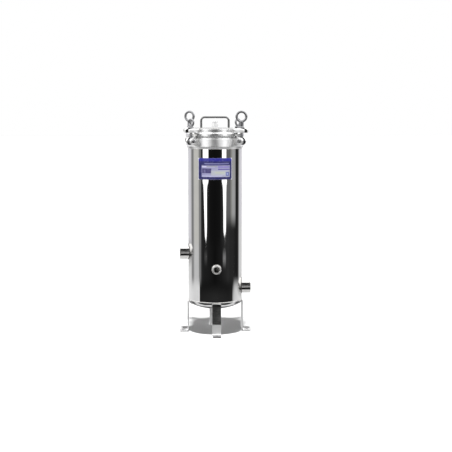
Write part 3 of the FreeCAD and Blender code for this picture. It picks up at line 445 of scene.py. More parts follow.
def lathe_data(runs, segs, closed=True):
    """Watertight turned mesh with exact normals: vertices, faces, and a normal for each face corner."""
    ring_pts, spans = [], []
    for ps, ns in runs:
        ids = []
        for j, p in enumerate(ps):
            if ring_pts and (ring_pts[-1] - p).length < 1e-5:
                ids.append(len(ring_pts) - 1)
            else:
                ring_pts.append(p.copy())
                ids.append(len(ring_pts) - 1)
        spans.append((ids, ns))
    if closed and (ring_pts[0] - ring_pts[-1]).length < 1e-5:
        last = len(ring_pts) - 1
        ring_pts.pop()
        spans = [([0 if i == last else i for i in ids], ns) for ids, ns in spans]
    verts, first = [], []
    cs = [(math.cos(2 * math.pi * s / segs), math.sin(2 * math.pi * s / segs)) for s in range(segs)]
    for p in ring_pts:
        first.append(len(verts))
        if abs(p.x) < 1e-6:
            verts.append((0.0, 0.0, p.y))
        else:
            verts.extend((p.x * c, p.x * s, p.y) for c, s in cs)
    faces, normals = [], []
    for ids, ns in spans:
        for j in range(len(ids) - 1):
            i0, i1 = ids[j], ids[j + 1]
            n0, n1 = ns[j], ns[j + 1]
            p0, p1 = ring_pts[i0], ring_pts[i1]
            if (p0 - p1).length < 1e-7:
                continue
            for s in range(segs):
                t = (s + 1) % segs
                c0, s0 = cs[s]
                c1, s1 = cs[t]
                v = lambda nn, c, sn: (nn.x * c, nn.x * sn, nn.y)
                if abs(p0.x) < 1e-6:
                    faces.append((first[i0], first[i1] + t, first[i1] + s))
                    normals += [v(n0, c0, s0), v(n1, c1, s1), v(n1, c0, s0)]
                elif abs(p1.x) < 1e-6:
                    faces.append((first[i0] + s, first[i0] + t, first[i1]))
                    normals += [v(n0, c0, s0), v(n0, c1, s1), v(n1, c0, s0)]
                else:
                    faces.append((first[i0] + s, first[i0] + t, first[i1] + t, first[i1] + s))
                    normals += [v(n0, c0, s0), v(n0, c1, s1), v(n1, c1, s1), v(n1, c0, s0)]
    return verts, faces, normals


def turned(name, runs, segs, body, slot, mat, replaces=(), matrix=None, closed=True):
    verts, faces, normals = lathe_data(runs, segs, closed)
    me = raw_mesh(verts, faces, matrix, name)
    finish_mesh(me, mat)
    if matrix is not None:
        rot = matrix.to_3x3()
        normals = [rot @ Vector(n) for n in normals]
    me.normals_split_custom_set([tuple(n) for n in normals])
    return place(name, me, body, replaces)


def temp_object(me):
    ob = bpy.data.objects.new("tmp", me)
    SCENE.collection.objects.link(ob)
    return ob


def applied(ob):
    dg = bpy.context.evaluated_depsgraph_get()
    me = bpy.data.meshes.new_from_object(ob.evaluated_get(dg))
    ob.modifiers.clear()
    return me


def cylinder_mesh(rad, z0, z1, segs=96, matrix=None):
    v = [(rad * math.cos(2 * math.pi * i / segs), rad * math.sin(2 * math.pi * i / segs), z) for z in (z0, z1) for i in range(segs)]
    f = [(i, (i + 1) % segs, segs + (i + 1) % segs, segs + i) for i in range(segs)]
    f += [tuple(range(segs - 1, -1, -1)), tuple(range(segs, 2 * segs))]
    return raw_mesh(v, f, matrix)


def cut_mesh(me, cutters):
    ob = temp_object(me)
    tools = []
    for c in cutters:
        t = temp_object(c)
        m = ob.modifiers.new("cut", "BOOLEAN")
        m.operation = "DIFFERENCE"
        m.solver = "EXACT"
        m.object = t
        tools.append(t)
    out = applied(ob)
    for o in [ob] + tools:
        bpy.data.objects.remove(o)
    return out


def join_meshes(meshes):
    bm = bmesh.new()
    for me in meshes:
        bm.from_mesh(me)
    out = bpy.data.meshes.new("joined")
    bm.to_mesh(out)
    bm.free()
    return out


def blended(meshes, voxel, smooth):
    """One forged or cast lump from several overlapping closed meshes."""
    ob = temp_object(join_meshes(meshes))
    m = ob.modifiers.new("skin", "REMESH")
    m.mode = "VOXEL"
    m.voxel_size = voxel * MM
    s = ob.modifiers.new("soft", "SMOOTH")
    s.factor = 0.5
    s.iterations = smooth
    out = applied(ob)
    bpy.data.objects.remove(ob)
    return out


def tube_data(points, radius, sides=14, closed=False, section=None):
    """Swept tube. radius may be a number or a function of (length along, angle)."""
    pts = [Vector(p) for p in points]
    n = len(pts)
    tans = []
    for i in range(n):
        a = pts[(i - 1) % n] if closed or i > 0 else pts[i]
        b = pts[(i + 1) % n] if closed or i < n - 1 else pts[i]
        tans.append((b - a).normalized())
    ref = Vector((0, 0, 1)) if abs(tans[0].z) < 0.9 else Vector((1, 0, 0))
    u = (ref - tans[0] * ref.dot(tans[0])).normalized()
    verts, faces, run = [], [], 0.0
    frames = []
    for i in range(n):
        if i:
            run += (pts[i] - pts[i - 1]).length
            u = (u - tans[i] * u.dot(tans[i])).normalized()
        w = tans[i].cross(u)
        frames.append((u.copy(), w.copy()))
        for k in range(sides):
            an = 2 * math.pi * k / sides
            r = radius(run, an) if callable(radius) else radius
            ru, rw = (r * section[0], r * section[1]) if section else (r, r)
            verts.append(pts[i] + u * math.cos(an) * ru + w * math.sin(an) * rw)
    last = n if closed else n - 1
    for i in range(last):
        a, b = i * sides, ((i + 1) % n) * sides
        for k in range(sides):
            l = (k + 1) % sides
            faces.append((a + k, a + l, b + l, b + k))
    if not closed:
        for base, sign, p in ((0, -1, pts[0]), ((n - 1) * sides, 1, pts[-1])):
            t = tans[0] if base == 0 else tans[-1]
            rr = radius(0.0, 0.0) if callable(radius) else radius
            tip = len(verts)
            verts.append(p + t * sign * rr * 0.45)
            for k in range(sides):
                l = (k + 1) % sides
                faces.append((base + l, base + k, tip) if sign < 0 else (base + k, base + l, tip))
    return verts, faces


def fix_normals(me):
    bm = bmesh.new()
    bm.from_mesh(me)
    bmesh.ops.recalc_face_normals(bm, faces=bm.faces)
    bm.to_mesh(me)
    bm.free()


def bead_radius(size, pitch):
    def f(run, an):
        phase = (run / pitch + 0.18 * math.sin(an)) % 1.0
        return size * (0.90 + 0.16 * (1 - abs(2 * phase - 1)) + 0.03 * math.sin(run * 0.7))
    return f


def weld(name, paths, size, body, pitch=1.7, sides=12, replaces=(), mat=None):
    """Rippled weld beads along one or more paths: (points, closed)."""
    parts = []
    for pts, closed in paths:
        v, f = tube_data(pts, bead_radius(size, pitch), sides, closed)
        parts.append(raw_mesh(v, f))
    me = join_meshes(parts)
    fix_normals(me)
    finish_mesh(me, mat or M_WELD)
    return place(name, me, body, replaces)


def circle(rad, z, k, matrix=None, a0=0.0, a1=360.0):
    full = abs(a1 - a0) >= 359.9
    m = k if full else k + 1
    out = []
    for i in range(m):
        w = RAD(a0 + (a1 - a0) * i / k)
        p = Vector((rad * math.cos(w), rad * math.sin(w), z))
        out.append(matrix @ p if matrix is not None else p)
    return out


def bevelled_prism(outline, y0, y1, bevel, matrix=None, segs=2, sharp=30.0):
    """Plate from an outline in (x, z), between two y values, with rounded edges."""
    n = len(outline)
    bm = bmesh.new()
    lo = [bm.verts.new((p[0], y0, p[1])) for p in outline]
    hi = [bm.verts.new((p[0], y1, p[1])) for p in outline]
    bm.faces.new(lo)
    bm.faces.new(list(reversed(hi)))
    for i in range(n):
        j = (i + 1) % n
        bm.faces.new((lo[j], lo[i], hi[i], hi[j]))
    bmesh.ops.recalc_face_normals(bm, faces=bm.faces)
    edges = [e for e in bm.edges if len(e.link_faces) == 2 and e.calc_face_angle(0.0) > RAD(sharp)]
    if bevel:
        bmesh.ops.bevel(bm, geom=edges, offset=bevel, offset_type="OFFSET", segments=segs, profile=0.5,
                        affect="EDGES", clamp_overlap=True)
    for v in bm.verts:
        v.co = (matrix @ v.co if matrix is not None else v.co) * MM
    me = bpy.data.meshes.new("prism")
    bm.to_mesh(me)
    bm.free()
    return me


def turn_z(deg):
    return Matrix.Rotation(RAD(deg), 4, "Z")


def along(origin, direction):
    """Matrix that carries local +Z to a direction, from an origin."""
    q = Vector(direction).normalized().to_track_quat("Z", "Y")
    return Matrix.Translation(Vector(origin)) @ q.to_matrix().to_4x4()


# ------------------------------------------------------------------ sizes, as in the CAD part
SHELL_RO, SHELL_RI, SEAM_Z, SHELL_TOP = 109.55, 106.55, 136.0, 766.0
INLET_Z, OUTLET_Z, SOCKET_Z = 333.0, 189.0, 272.0
PIPE_RO, PIPE_RI, PIPE_END, PIPE_START = 30.15, 27.35, 145.0, 102.4
LEG_IN, LEG_T, LEG_TOP, FOOT_END = 109.1, 5.0, 131.5, 147.0
PIVOT_R, PIVOT_Z = 142.0, 788.0
CORNERS = (("front_left", -135.0), ("front_right", -45.0), ("rear_right", 45.0), ("rear_left", 135.0))
SHORT = ("front_left", "rear_right")

# ------------------------------------------------------------------ vessel shell
verts, faces, normals = lathe_data(profile([
    (SHELL_RI, SEAM_Z), (SHELL_RO, SEAM_Z), (SHELL_RO, SHELL_TOP), (SHELL_RI, SHELL_TOP)]), 256)
tube = raw_mesh(verts, faces)
tube = cut_mesh(tube, [
    cylinder_mesh(PIPE_RO + 0.1, 60.0, 130.0, 128, along((0, 0, INLET_Z), (-1, 0, 0))),
    cylinder_mesh(PIPE_RO + 0.1, 60.0, 130.0, 128, along((0, 0, OUTLET_Z), (1, 0, 0))),
    cylinder_mesh(18.3, 60.0, 130.0, 96, along((0, 0, SOCKET_Z), (0, -1, 0)))])
finish_mesh(tube, M_MIRROR)
loop_normals = [None] * len(tube.loops)
for poly in tube.polygons:
    c = poly.center
    rc = math.hypot(c.x, c.y) / MM
    out = Vector((c.x, c.y, 0)).normalized()
    fn = poly.normal
    wall = 0
    if abs(fn.z) < 0.3:
        if fn.dot(out) > 0.97 and rc > SHELL_RO - 0.6:
            wall = 1
        elif fn.dot(out) < -0.97 and rc < SHELL_RI + 0.6:
            wall = -1
    for li in poly.loop_indices:
        co = tube.vertices[tube.loops[li].vertex_index].co
        if wall:
            d = Vector((co.x, co.y, 0)).normalized() * wall
            loop_normals[li] = tuple(d)
        else:
            loop_normals[li] = tuple(fn)
tube.normals_split_custom_set(loop_normals)
place("shell", tube, "vessel", tuple(sorted(n for n in NODES if n.startswith("shell_"))))

# Dished bottom head with its knuckle and crown.
KR, CR, WALL = 20.0, 230.0, 3.0
ck = SHELL_RO - KR
hz = SEAM_Z + math.sqrt((CR - KR) ** 2 - ck ** 2)
split_deg = math.degrees(math.atan2(SEAM_Z - hz, ck))
outer = [arc_run(0, hz, CR, -90, split_deg, True, 40), arc_run(ck, SEAM_Z, KR, split_deg, 0, True, 16)]
rim = ([Vector((SHELL_RO, SEAM_Z)), Vector((SHELL_RI, SEAM_Z))], [Vector((0, 1))] * 2)
inner = [arc_run(ck, SEAM_Z, KR - WALL, 0, split_deg, False, 16), arc_run(0, hz, CR - WALL, split_deg, -90, False, 40)]
turned("head", outer + [rim] + inner, 256, "vessel", "polished_shell", M_HEAD, ("bottom_head",), closed=False)

# Collar, seal ring.
turned("collar", profile([
    (109.65, 757.0), (110.45, 757.0), (116.5, 765.0, 7.0), (116.5, 796.4, 0.6), (113.9, 800.0, 0.4), (113.1, 800.0),
    (113.1, 796.0), (107.9, 796.0), (107.9, 800.0), (106.65, 800.0), (106.65, 766.1), (109.65, 766.1)], step=4.0),
    256, "vessel", "polished_shell", M_TURNED, ("body_collar",))
turned("seal_ring", [arc_run(110.5, 798.45, 2.35, -90, 270, True, 28)], 192, "vessel", "seal_rubber", M_RUBBER, ("collar_seal",))

# ------------------------------------------------------------------ ports
for nm, sx, z, nd in (("inlet_stub", -1, INLET_Z, "inlet_pipe"), ("outlet_stub", 1, OUTLET_Z, "outlet_pipe")):
    runs = profile([(PIPE_RI, PIPE_START), (PIPE_RO, PIPE_START), (PIPE_RO, PIPE_END, 0.7), (PIPE_RI, PIPE_END, 0.5)], step=15.0)
    turned(nm, runs, 128, "vessel", "pipe_steel", M_PIPE, (nd,), along((0, 0, z), (sx, 0, 0)))


def saddle(rad, grow, z, direction, k=120):
    """Line where a branch of the given radius meets the shell."""
    d = Vector(direction)
    t = Vector((-d.y, d.x, 0))
    out = []
    for i in range(k):
        w = 2 * math.pi * i / k
        y, h = rad * math.cos(w), rad * math.sin(w)
        out.append(d * math.sqrt((SHELL_RO + grow) ** 2 - y * y) + t * y + Vector((0, 0, z + h)))
    return out


weld("stub_welds", [(saddle(PIPE_RO + 0.5, 0.3, INLET_Z, (-1, 0, 0)), True), (saddle(PIPE_RO + 0.5, 0.3, OUTLET_Z, (1, 0, 0)), True)],
     1.9, "vessel", 2.1, mat=M_WELD_TINTED)
weld("socket_weld", [(saddle(18.5, 0.3, SOCKET_Z, (0, -1, 0), 90), True)], 1.8, "vessel", 1.9)


def inner_thread(rad, depth, pitch, z0, z1, segs, rows_per, matrix):
    """Cut thread on the wall of a bore, facing inwards."""
    rows = int((z1 - z0) / pitch * rows_per)
    v, f = [], []
    for j in range(rows + 1):
        z = z0 + (z1 - z0) * j / rows
        fade = min(1.0, (z - z0) / pitch, (z1 - z) / (0.4 * pitch))
        for i in range(segs):
            ph = ((z / pitch) + i / segs) % 1.0
            tri = 1 - abs(2 * ph - 1)
            r = rad + depth * max(0.0, min(1.0, tri * 1.25 - 0.12)) * max(0.0, fade)
            w = 2 * math.pi * i / segs
            v.append((r * math.cos(w), r * math.sin(w), z))
    for j in range(rows):
        for i in range(segs):
            k = (i + 1) % segs
            a, b = j * segs, (j + 1) * segs
            f.append((a + i, b + i, b + k, a + k))
    return raw_mesh(v, f, matrix)


# Front socket: turned half coupling, tapped. The bore is made of the thread and its lead-in cone.
sock_m = along((0, 0, SOCKET_Z), (0, -1, 0))
sv, sf, sn = lathe_data(profile([
    (10.6, 105.0), (18.2, 105.0), (18.2, 124.0, 1.4), (12.2, 124.0, 0.3), (10.6, 122.6), (10.6, 122.0), (11.9, 121.9), (11.9, 105.6), (10.6, 105.5)], step=12.0), 128)
body_me = raw_mesh(sv, sf, sock_m)
finish_mesh(body_me, M_SOCKET, 35)
# bore faces and the cut thread take the near-black material: painted shade
body_me.materials.append(M_BORE)
for poly in body_me.polygons:
    if math.hypot(poly.center.x, poly.center.z - SOCKET_Z * MM) < 0.0121:
        poly.material_index = 1
thread_me = inner_thread(10.55, 1.1, 1.814, 105.3, 122.4, 96, 14, sock_m)
finish_mesh(thread_me, M_BORE, 60)
place("front_coupling", body_me, "vessel", ("front_socket",))
place("front_coupling_thread", thread_me, "vessel")


# ------------------------------------------------------------------ legs
def rounded_section(half_w, half_t, rad, k=3):
    out = []
    for cx, cz, a0 in ((half_w - rad, half_t - rad, 0), (-half_w + rad, half_t - rad, 90),
                       (-half_w + rad, -half_t + rad, 180), (half_w - rad, -half_t + rad, 270)):
        for i in range(k + 1):
            w = RAD(a0 + 90 * i / k)
            out.append((cx + rad * math.cos(w), cz + rad * math.sin(w)))
    return out


def leg_mesh(deg):
    mid = LEG_T / 2
    bend_c = (LEG_IN + 11.0, 11.0)
    path = []   # (r, z, direction angle)
    top = LEG_TOP
    for z in [top - d for d in (0, 0.25, 0.7, 1.4, 2.3, 3.4, 5.0)]:
        path.append((LEG_IN + mid, z, -90.0))
    for z in [top - 5 - (top - 16.0) * i / 14 for i in range(1, 15)]:
        path.append((LEG_IN + mid, z, -90.0))
    for i in range(1, 15):
        w = 180 + 90 * i / 14
        path.append((bend_c[0] + 8.5 * math.cos(RAD(w)), bend_c[1] + 8.5 * math.sin(RAD(w)), w + 90 - 360 if w + 90 > 180 else w + 90))
    for i in range(1, 9):
        path.append((bend_c[0] + (FOOT_END - 5 - bend_c[0]) * i / 8, mid, 0.0))
    for d in (3.4, 2.3, 1.4, 0.7, 0.25, 0.0):
        path.append((FOOT_END - d, mid, 0.0))
    total = len(path)
    run = [0.0]
    for i in range(1, total):
        run.append(run[-1] + math.hypot(path[i][0] - path[i - 1][0], path[i][1] - path[i - 1][1]))
    v, f = [], []
    m = None
    for i, (r, z, ang) in enumerate(path):
        d = min(run[i], run[-1] - run[i])
        half_w = 18.0 - (5.0 - math.sqrt(max(0.0, 25.0 - (5.0 - d) ** 2)) if d < 5.0 else 0.0)
        edge = min(d, 0.45)
        pinch = 0.45 - math.sqrt(max(0.0, 0.45 ** 2 - (0.45 - edge) ** 2))
        sec = rounded_section(half_w, mid - pinch, 0.6)
        m = len(sec)
        t = Vector((math.cos(RAD(ang)), 0, math.sin(RAD(ang))))
        nrm = Vector((-t.z, 0, t.x))
        for y, h in sec:
            v.append(Vector((r, 0, z)) + nrm * h + Vector((0, y, 0)))
    for i in range(total - 1):
        for k in range(m):
            l = (k + 1) % m
            f.append((i * m + k, i * m + l, (i + 1) * m + l, (i + 1) * m + k))
    f.append(tuple(range(m - 1, -1, -1)))
    f.append(tuple((total - 1) * m + k for k in range(m)))
    me = raw_mesh(v, f)
    fix_normals(me)
    hole = cylinder_mesh(5.5, -4.0, 9.0, 64, Matrix.Translation(Vector((133.0, 0, 0))))
    me = cut_mesh(me, [hole])
    me.transform(turn_z(deg))
    return me


leg_beads = []
for nm, deg in (("right", 0), ("rear", 90), ("left", 180), ("front", -90)):
    me = leg_mesh(deg)
    finish_mesh(me, M_BAR, 28)
    me.materials.append(M_BAR_EDGE)
    me.materials.append(M_TOE)
    me.materials.append(M_FOOT_TOP)
    back = turn_z(-deg).to_3x3()
    for poly in me.polygons:
        # side, inner and upper faces, picked by direction, take the lighter rough material: partly rougher finish,
        # partly painted highlight
        local = back @ poly.normal
        if abs(local.y) > 0.75 or local.x < -0.6 or (local.z > 0.6 and poly.center.z > 0.1):
            poly.material_index = 1
        # walls of the foot hole and the low outward toe faces take the dark material: painted shade
        pc = back @ poly.center
        at_hole = abs(math.hypot(pc.x - 0.133, pc.y) - 0.0055) < 0.0004 and abs(local.z) < 0.4
        if at_hole or (local.x > 0.7 and pc.z < 0.006):
            poly.material_index = 2
        # upward foot top faces take the darker scuffed material: painted shade
        elif local.z > 0.9 and pc.x > 0.119 and pc.z < 0.02:
            poly.material_index = 3
    place("strap_leg_" + nm, me, "vessel", ("leg_" + nm,))
    pts = []
    rot = turn_z(deg)
    hr = lambda z: (ck + math.sqrt(max(0.0, KR ** 2 - (SEAM_Z - z) ** 2))) if z < SEAM_Z else SHELL_RO
    for i in range(7):
        z = 117.0 + (LEG_TOP - 4 - 117.0) * i / 6
        pts.append((math.sqrt(hr(z) ** 2 - 18.6 ** 2) + 0.9, -18.6, z))
    for i in range(1, 18):
        y = -18.6 + 37.2 * i / 18
        bulge = min(4.0, 18.6 - abs(y)) / 4.0
        z = LEG_TOP - 4 + 4.7 * math.sin(min(1.0, bulge) * math.pi / 2)
        pts.append((math.sqrt(hr(z) ** 2 - y * y) + 0.9, y, z))
    for i in range(7):
        z = LEG_TOP - 4 - (LEG_TOP - 4 - 117.0) * i / 6
        pts.append((math.sqrt(hr(z) ** 2 - 18.6 ** 2) + 0.9, 18.6, z))
    fine = []
    for a, b in zip(pts, pts[1:]):
        a, b = Vector(a), Vector(b)
        k = max(1, int((b - a).length / 0.45))
        fine += [rot @ a.lerp(b, i / k) for i in range(k)]
    fine.append(rot @ Vector(pts[-1]))
    leg_beads.append((fine, False))
weld("leg_welds", leg_beads, 1.35, "vessel", 1.8)

# Girth seam, flush ground but still visible, and the collar's fillet weld.
weld("girth_seam", [(circle(SHELL_RO - 0.75, SEAM_Z, 720), True)], 1.25, "vessel", 2.4, 10, mat=M_SEAM)
weld("collar_weld", [(circle(SHELL_RO + 0.25, 756.7, 720), True)], 0.95, "vessel", 2.0, 10, mat=M_SEAM)

# ------------------------------------------------------------------ rating plate
PLATE_HALF, PLATE_DIR = 37.9, -92.8
nu, nv = 72, 20
verts, faces, uvs = [], [], []
for layer, rr in ((0, 110.35), (1, 109.65)):
    for j in range(nv + 1):
        for i in range(nu + 1):
            u, v = i / nu, j / nv
            w = RAD(PLATE_DIR - PLATE_HALF + 2 * PLATE_HALF * u)
            edge = min(u, 1 - u) * 2 * PLATE_HALF * 1.92, min(v, 1 - v) * 86.0
            drop = 0.18 * max(0.0, 1 - min(edge) / 0.8) if layer == 0 else 0.0
            verts.append(((rr - drop) * math.cos(w), (rr - drop) * math.sin(w), 635.0 + 86.0 * v))
            uvs.append((u, v))
per = (nu + 1) * (nv + 1)
idx = lambda layer, i, j: layer * per + j * (nu + 1) + i
for j in range(nv):
    for i in range(nu):
        faces.append((idx(0, i, j), idx(0, i + 1, j), idx(0, i + 1, j + 1), idx(0, i, j + 1)))
        faces.append((idx(1, i, j), idx(1, i, j + 1), idx(1, i + 1, j + 1), idx(1, i + 1, j)))
for i in range(nu):
    faces.append((idx(0, i, 0), idx(1, i, 0), idx(1, i + 1, 0), idx(0, i + 1, 0)))
    faces.append((idx(0, i, nv), idx(0, i + 1, nv), idx(1, i + 1, nv), idx(1, i, nv)))
for j in range(nv):
    faces.append((idx(0, 0, j), idx(0, 0, j + 1), idx(1, 0, j + 1), idx(1, 0, j)))
    faces.append((idx(0, nu, j), idx(1, nu, j), idx(1, nu, j + 1), idx(0, nu, j + 1)))
me = raw_mesh(verts, faces)
layer_uv = me.uv_layers.new(name="plate")
for loop in me.loops:
    layer_uv.data[loop.index].uv = uvs[loop.vertex_index]
finish_mesh(me, M_PLATE, 40)
place("name_plate", me, "vessel", ("rating_plate",))


# ------------------------------------------------------------------ lugs, ears and pins
def ring_points(cx, cz, rad, a0, a1, k):
    return [(cx + rad * math.cos(RAD(a0 + (a1 - a0) * i / k)), cz + rad * math.sin(RAD(a0 + (a1 - a0) * i / k))) for i in range(k + 1)]


lug_out = [(116.0, PIVOT_Z - 15.0)] + ring_points(PIVOT_R, PIVOT_Z, 15.0, -90, 90, 28) + [(116.0, PIVOT_Z + 15.0)]
crown = 51.7
tip_z = PIVOT_Z + math.sqrt(crown ** 2 - (166.0 - PIVOT_R) ** 2)
in_z = PIVOT_Z + math.sqrt(crown ** 2 - (PIVOT_R - 122.0) ** 2)
a_tip = math.degrees(math.atan2(tip_z - PIVOT_Z, 166.0 - PIVOT_R))
a_in = math.degrees(math.atan2(in_z - PIVOT_Z, 122.0 - PIVOT_R))
ear_out = [(109.0, 821.5), (163.0, 821.5), (166.0, 824.5)] + ring_points(PIVOT_R, PIVOT_Z, crown, a_tip, a_in, 16) + [(109.0, in_z)]
lug_parts, ear_parts, pin_parts, lug_beads, ear_beads = [], [], [], [], []
for nm, deg in CORNERS:
    rot = turn_z(deg)
    for s in (-1, 1):
        y0 = s * 10.4 - 3.0
        lug_parts.append(bevelled_prism(lug_out, y0, y0 + 6.0, 0.55, rot))
        ear_parts.append(bevelled_prism(ear_out, y0, y0 + 6.0, 0.5, rot))
        edge = s * 13.7
        x0 = math.sqrt(116.5 ** 2 - edge ** 2)
        lug_beads.append(([rot @ Vector((x0 + 0.5, edge, 774.0 + 24.0 * i / 60)) for i in range(61)], False))
        x1 = math.sqrt(109.5 ** 2 - edge ** 2)
        ear_beads.append(([rot @ Vector((x1 + 0.4, edge, 824.0 + 11.0 * i / 30)) for i in range(31)], False))
    # pivot pin with a chamfered head, washer clip and split pin
    pm = rot @ along((PIVOT_R, 0, PIVOT_Z), (0, 1, 0))
    v, f, n = lathe_data(profile([
        (0, -18.4), (7.0, -18.4, 0.4), (8.2, -17.2, 0.4), (8.2, -13.9, 0.3), (5.0, -13.9), (5.0, 13.8), (7.6, 13.8, 0.3),
        (7.6, 16.2, 0.6), (5.0, 16.4), (5.0, 18.4, 0.5), (4.2, 19.1), (0, 19.1)], closed=False, step=15.0), 64, False)
    pin_parts.append(raw_mesh(v, f, pm))
    for off in (-0.75, 0.75):
        v, f = tube_data([(off, -7.2 + 14.4 * i / 12, 17.4 + 0.35 * math.sin(i * 0.5)) for i in range(13)], 0.7, 8)
        pin_parts.append(raw_mesh(v, f, pm))


def darken_slots(me):
    """The faces that look into a slot get a near-black colour: painted shade in the slot."""
    me.materials.append(M_SLOT)
    for poly in me.polygons:
        c = poly.center
        for _, deg in CORNERS:
            back = turn_z(-deg).to_3x3()
            pc, pn = back @ c, back @ poly.normal
            if pc.x > 0.09 and abs(pc.y) < 0.0078 and abs(pn.y) > 0.6 and pn.y * pc.y < 0:
                poly.material_index = 1
                break


me = join_meshes(lug_parts)
finish_mesh(me, M_LUG, 32)
darken_slots(me)
place("body_lug_plates", me, "vessel", ("body_lugs",))
me = join_meshes(ear_parts)
finish_mesh(me, M_EAR, 32)
darken_slots(me)
place("lid_ear_plates", me, "lid", ("lid_ears",))
me = join_meshes(pin_parts)
fix_normals(me)
finish_mesh(me, M_PIN, 30)
place("pivot_pin_set", me, "vessel", ("pivot_pins",))
weld("lug_welds", lug_beads, 1.3, "vessel", 1.8, mat=M_SEAM)
weld("ear_welds", ear_beads, 1.2, "lid", 1.8, mat=M_SEAM)

# ------------------------------------------------------------------ lid
lid_disc = turned("lid_disc", profile([
    (97.0, 801.2), (113.4, 801.2), (118.0, 806.5, 4.5), (118.0, 820.0, 4.5), (110.5, 821.5), (109.5, 823.0, 1.0),
    (109.5, 838.0, 3.0), (6.0, 838.0), (6.0, 826.0), (97.0, 826.0)], step=4.0),
    256, "lid", "polished_lid", M_LID, ("lid_cover",))
# the flat upward top face of the lid takes the darker material: painted shade
lid_disc.data.materials.append(M_LID_TOP)
for poly in lid_disc.data.polygons:
    if poly.normal.z > 0.9 and poly.center.z > 0.8375:
        poly.material_index = 1

HX, HR, HB, HZ = 56.0, 4.4, 14.0, 882.6
path = [(-HX, 0, 838.2 + (HZ - HB - 838.2) * i / 8) for i in range(9)]
path += [(-HX + HB - HB * math.cos(RAD(90 * i / 16)), 0, HZ - HB + HB * math.sin(RAD(90 * i / 16))) for i in range(1, 17)]
path += [(-HX + HB + (2 * HX - 2 * HB) * i / 16, 0, HZ) for i in range(1, 17)]
path += [(HX - HB + HB * math.sin(RAD(90 * i / 16)), 0, HZ - HB + HB * math.cos(RAD(90 * i / 16))) for i in range(1, 17)]
path += [(HX, 0, HZ - HB - (HZ - HB - 838.2) * i / 8) for i in range(1, 9)]
v, f = tube_data(path, HR, 40)
me = raw_mesh(v, f)
fix_normals(me)
finish_mesh(me, M_ROD, 50)
place("grip_rod", me, "lid", ("lid_handle",))
weld("grip_welds", [([Vector((s * HX, 0, 838.5)) + p for p in circle(HR + 0.7, 0.0, 90)], True) for s in (-1, 1)],
     1.25, "lid", 1.7, mat=M_SEAM)

turned("vent_boss", profile([(6.5, 838.05), (13.0, 838.05), (13.0, 855.0, 1.2), (6.5, 855.0, 0.5)], step=15.0),
       96, "lid", "pipe_steel", M_VENT, ("vent_socket",))
weld("vent_weld", [(circle(13.4, 838.4, 120), True)], 1.2, "lid", 1.8, mat=M_SEAM)
hexa = [(10.4 * math.cos(RAD(60 * i)), 10.4 * math.sin(RAD(60 * i))) for i in range(6)]
plug = bevelled_prism(hexa, -5.2, 5.2, 0.6, Matrix.Translation(Vector((0, 0, 860.6))) @ Matrix.Rotation(RAD(90), 4, "X"), 3, 20)
stem = cylinder_mesh(6.42, 842.0, 856.0, 64)
me = join_meshes([plug, stem])
fix_normals(me)
finish_mesh(me, M_VENT, 25)
place("vent_plug_hex", me, "lid", ("vent_plug",))


# ------------------------------------------------------------------ swing bolts, washers, ring nuts
def thread_mesh(rad, depth, pitch, z0, z1, segs=40, rows_per=9, matrix=None):
    rows = int((z1 - z0) / pitch * rows_per)
    v, f = [], []
    for j in range(rows + 1):
        z = z0 + (z1 - z0) * j / rows
        end = max(0.0, 1.1 - (z1 - z)) * 0.9
        fade = min(1.0, max(0.0, (z - z0) / (1.5 * pitch)))
        for i in range(segs):
            ph = ((z / pitch) - i / segs) % 1.0
            tri = 1 - abs(2 * ph - 1)
            r = rad - depth * fade * (1 - max(0.0, min(1.0, tri * 1.3 - 0.15))) - end
            w = 2 * math.pi * i / segs
            v.append((r * math.cos(w), r * math.sin(w), z))
    for j in range(rows):
        for i in range(segs):
            k = (i + 1) % segs
            a, b = j * segs, (j + 1) * segs
            f.append((a + i, a + k, b + k, b + i))
    f.append(tuple(range(segs - 1, -1, -1)))
    f.append(tuple(rows * segs + i for i in range(segs)))
    return raw_mesh(v, f, matrix)


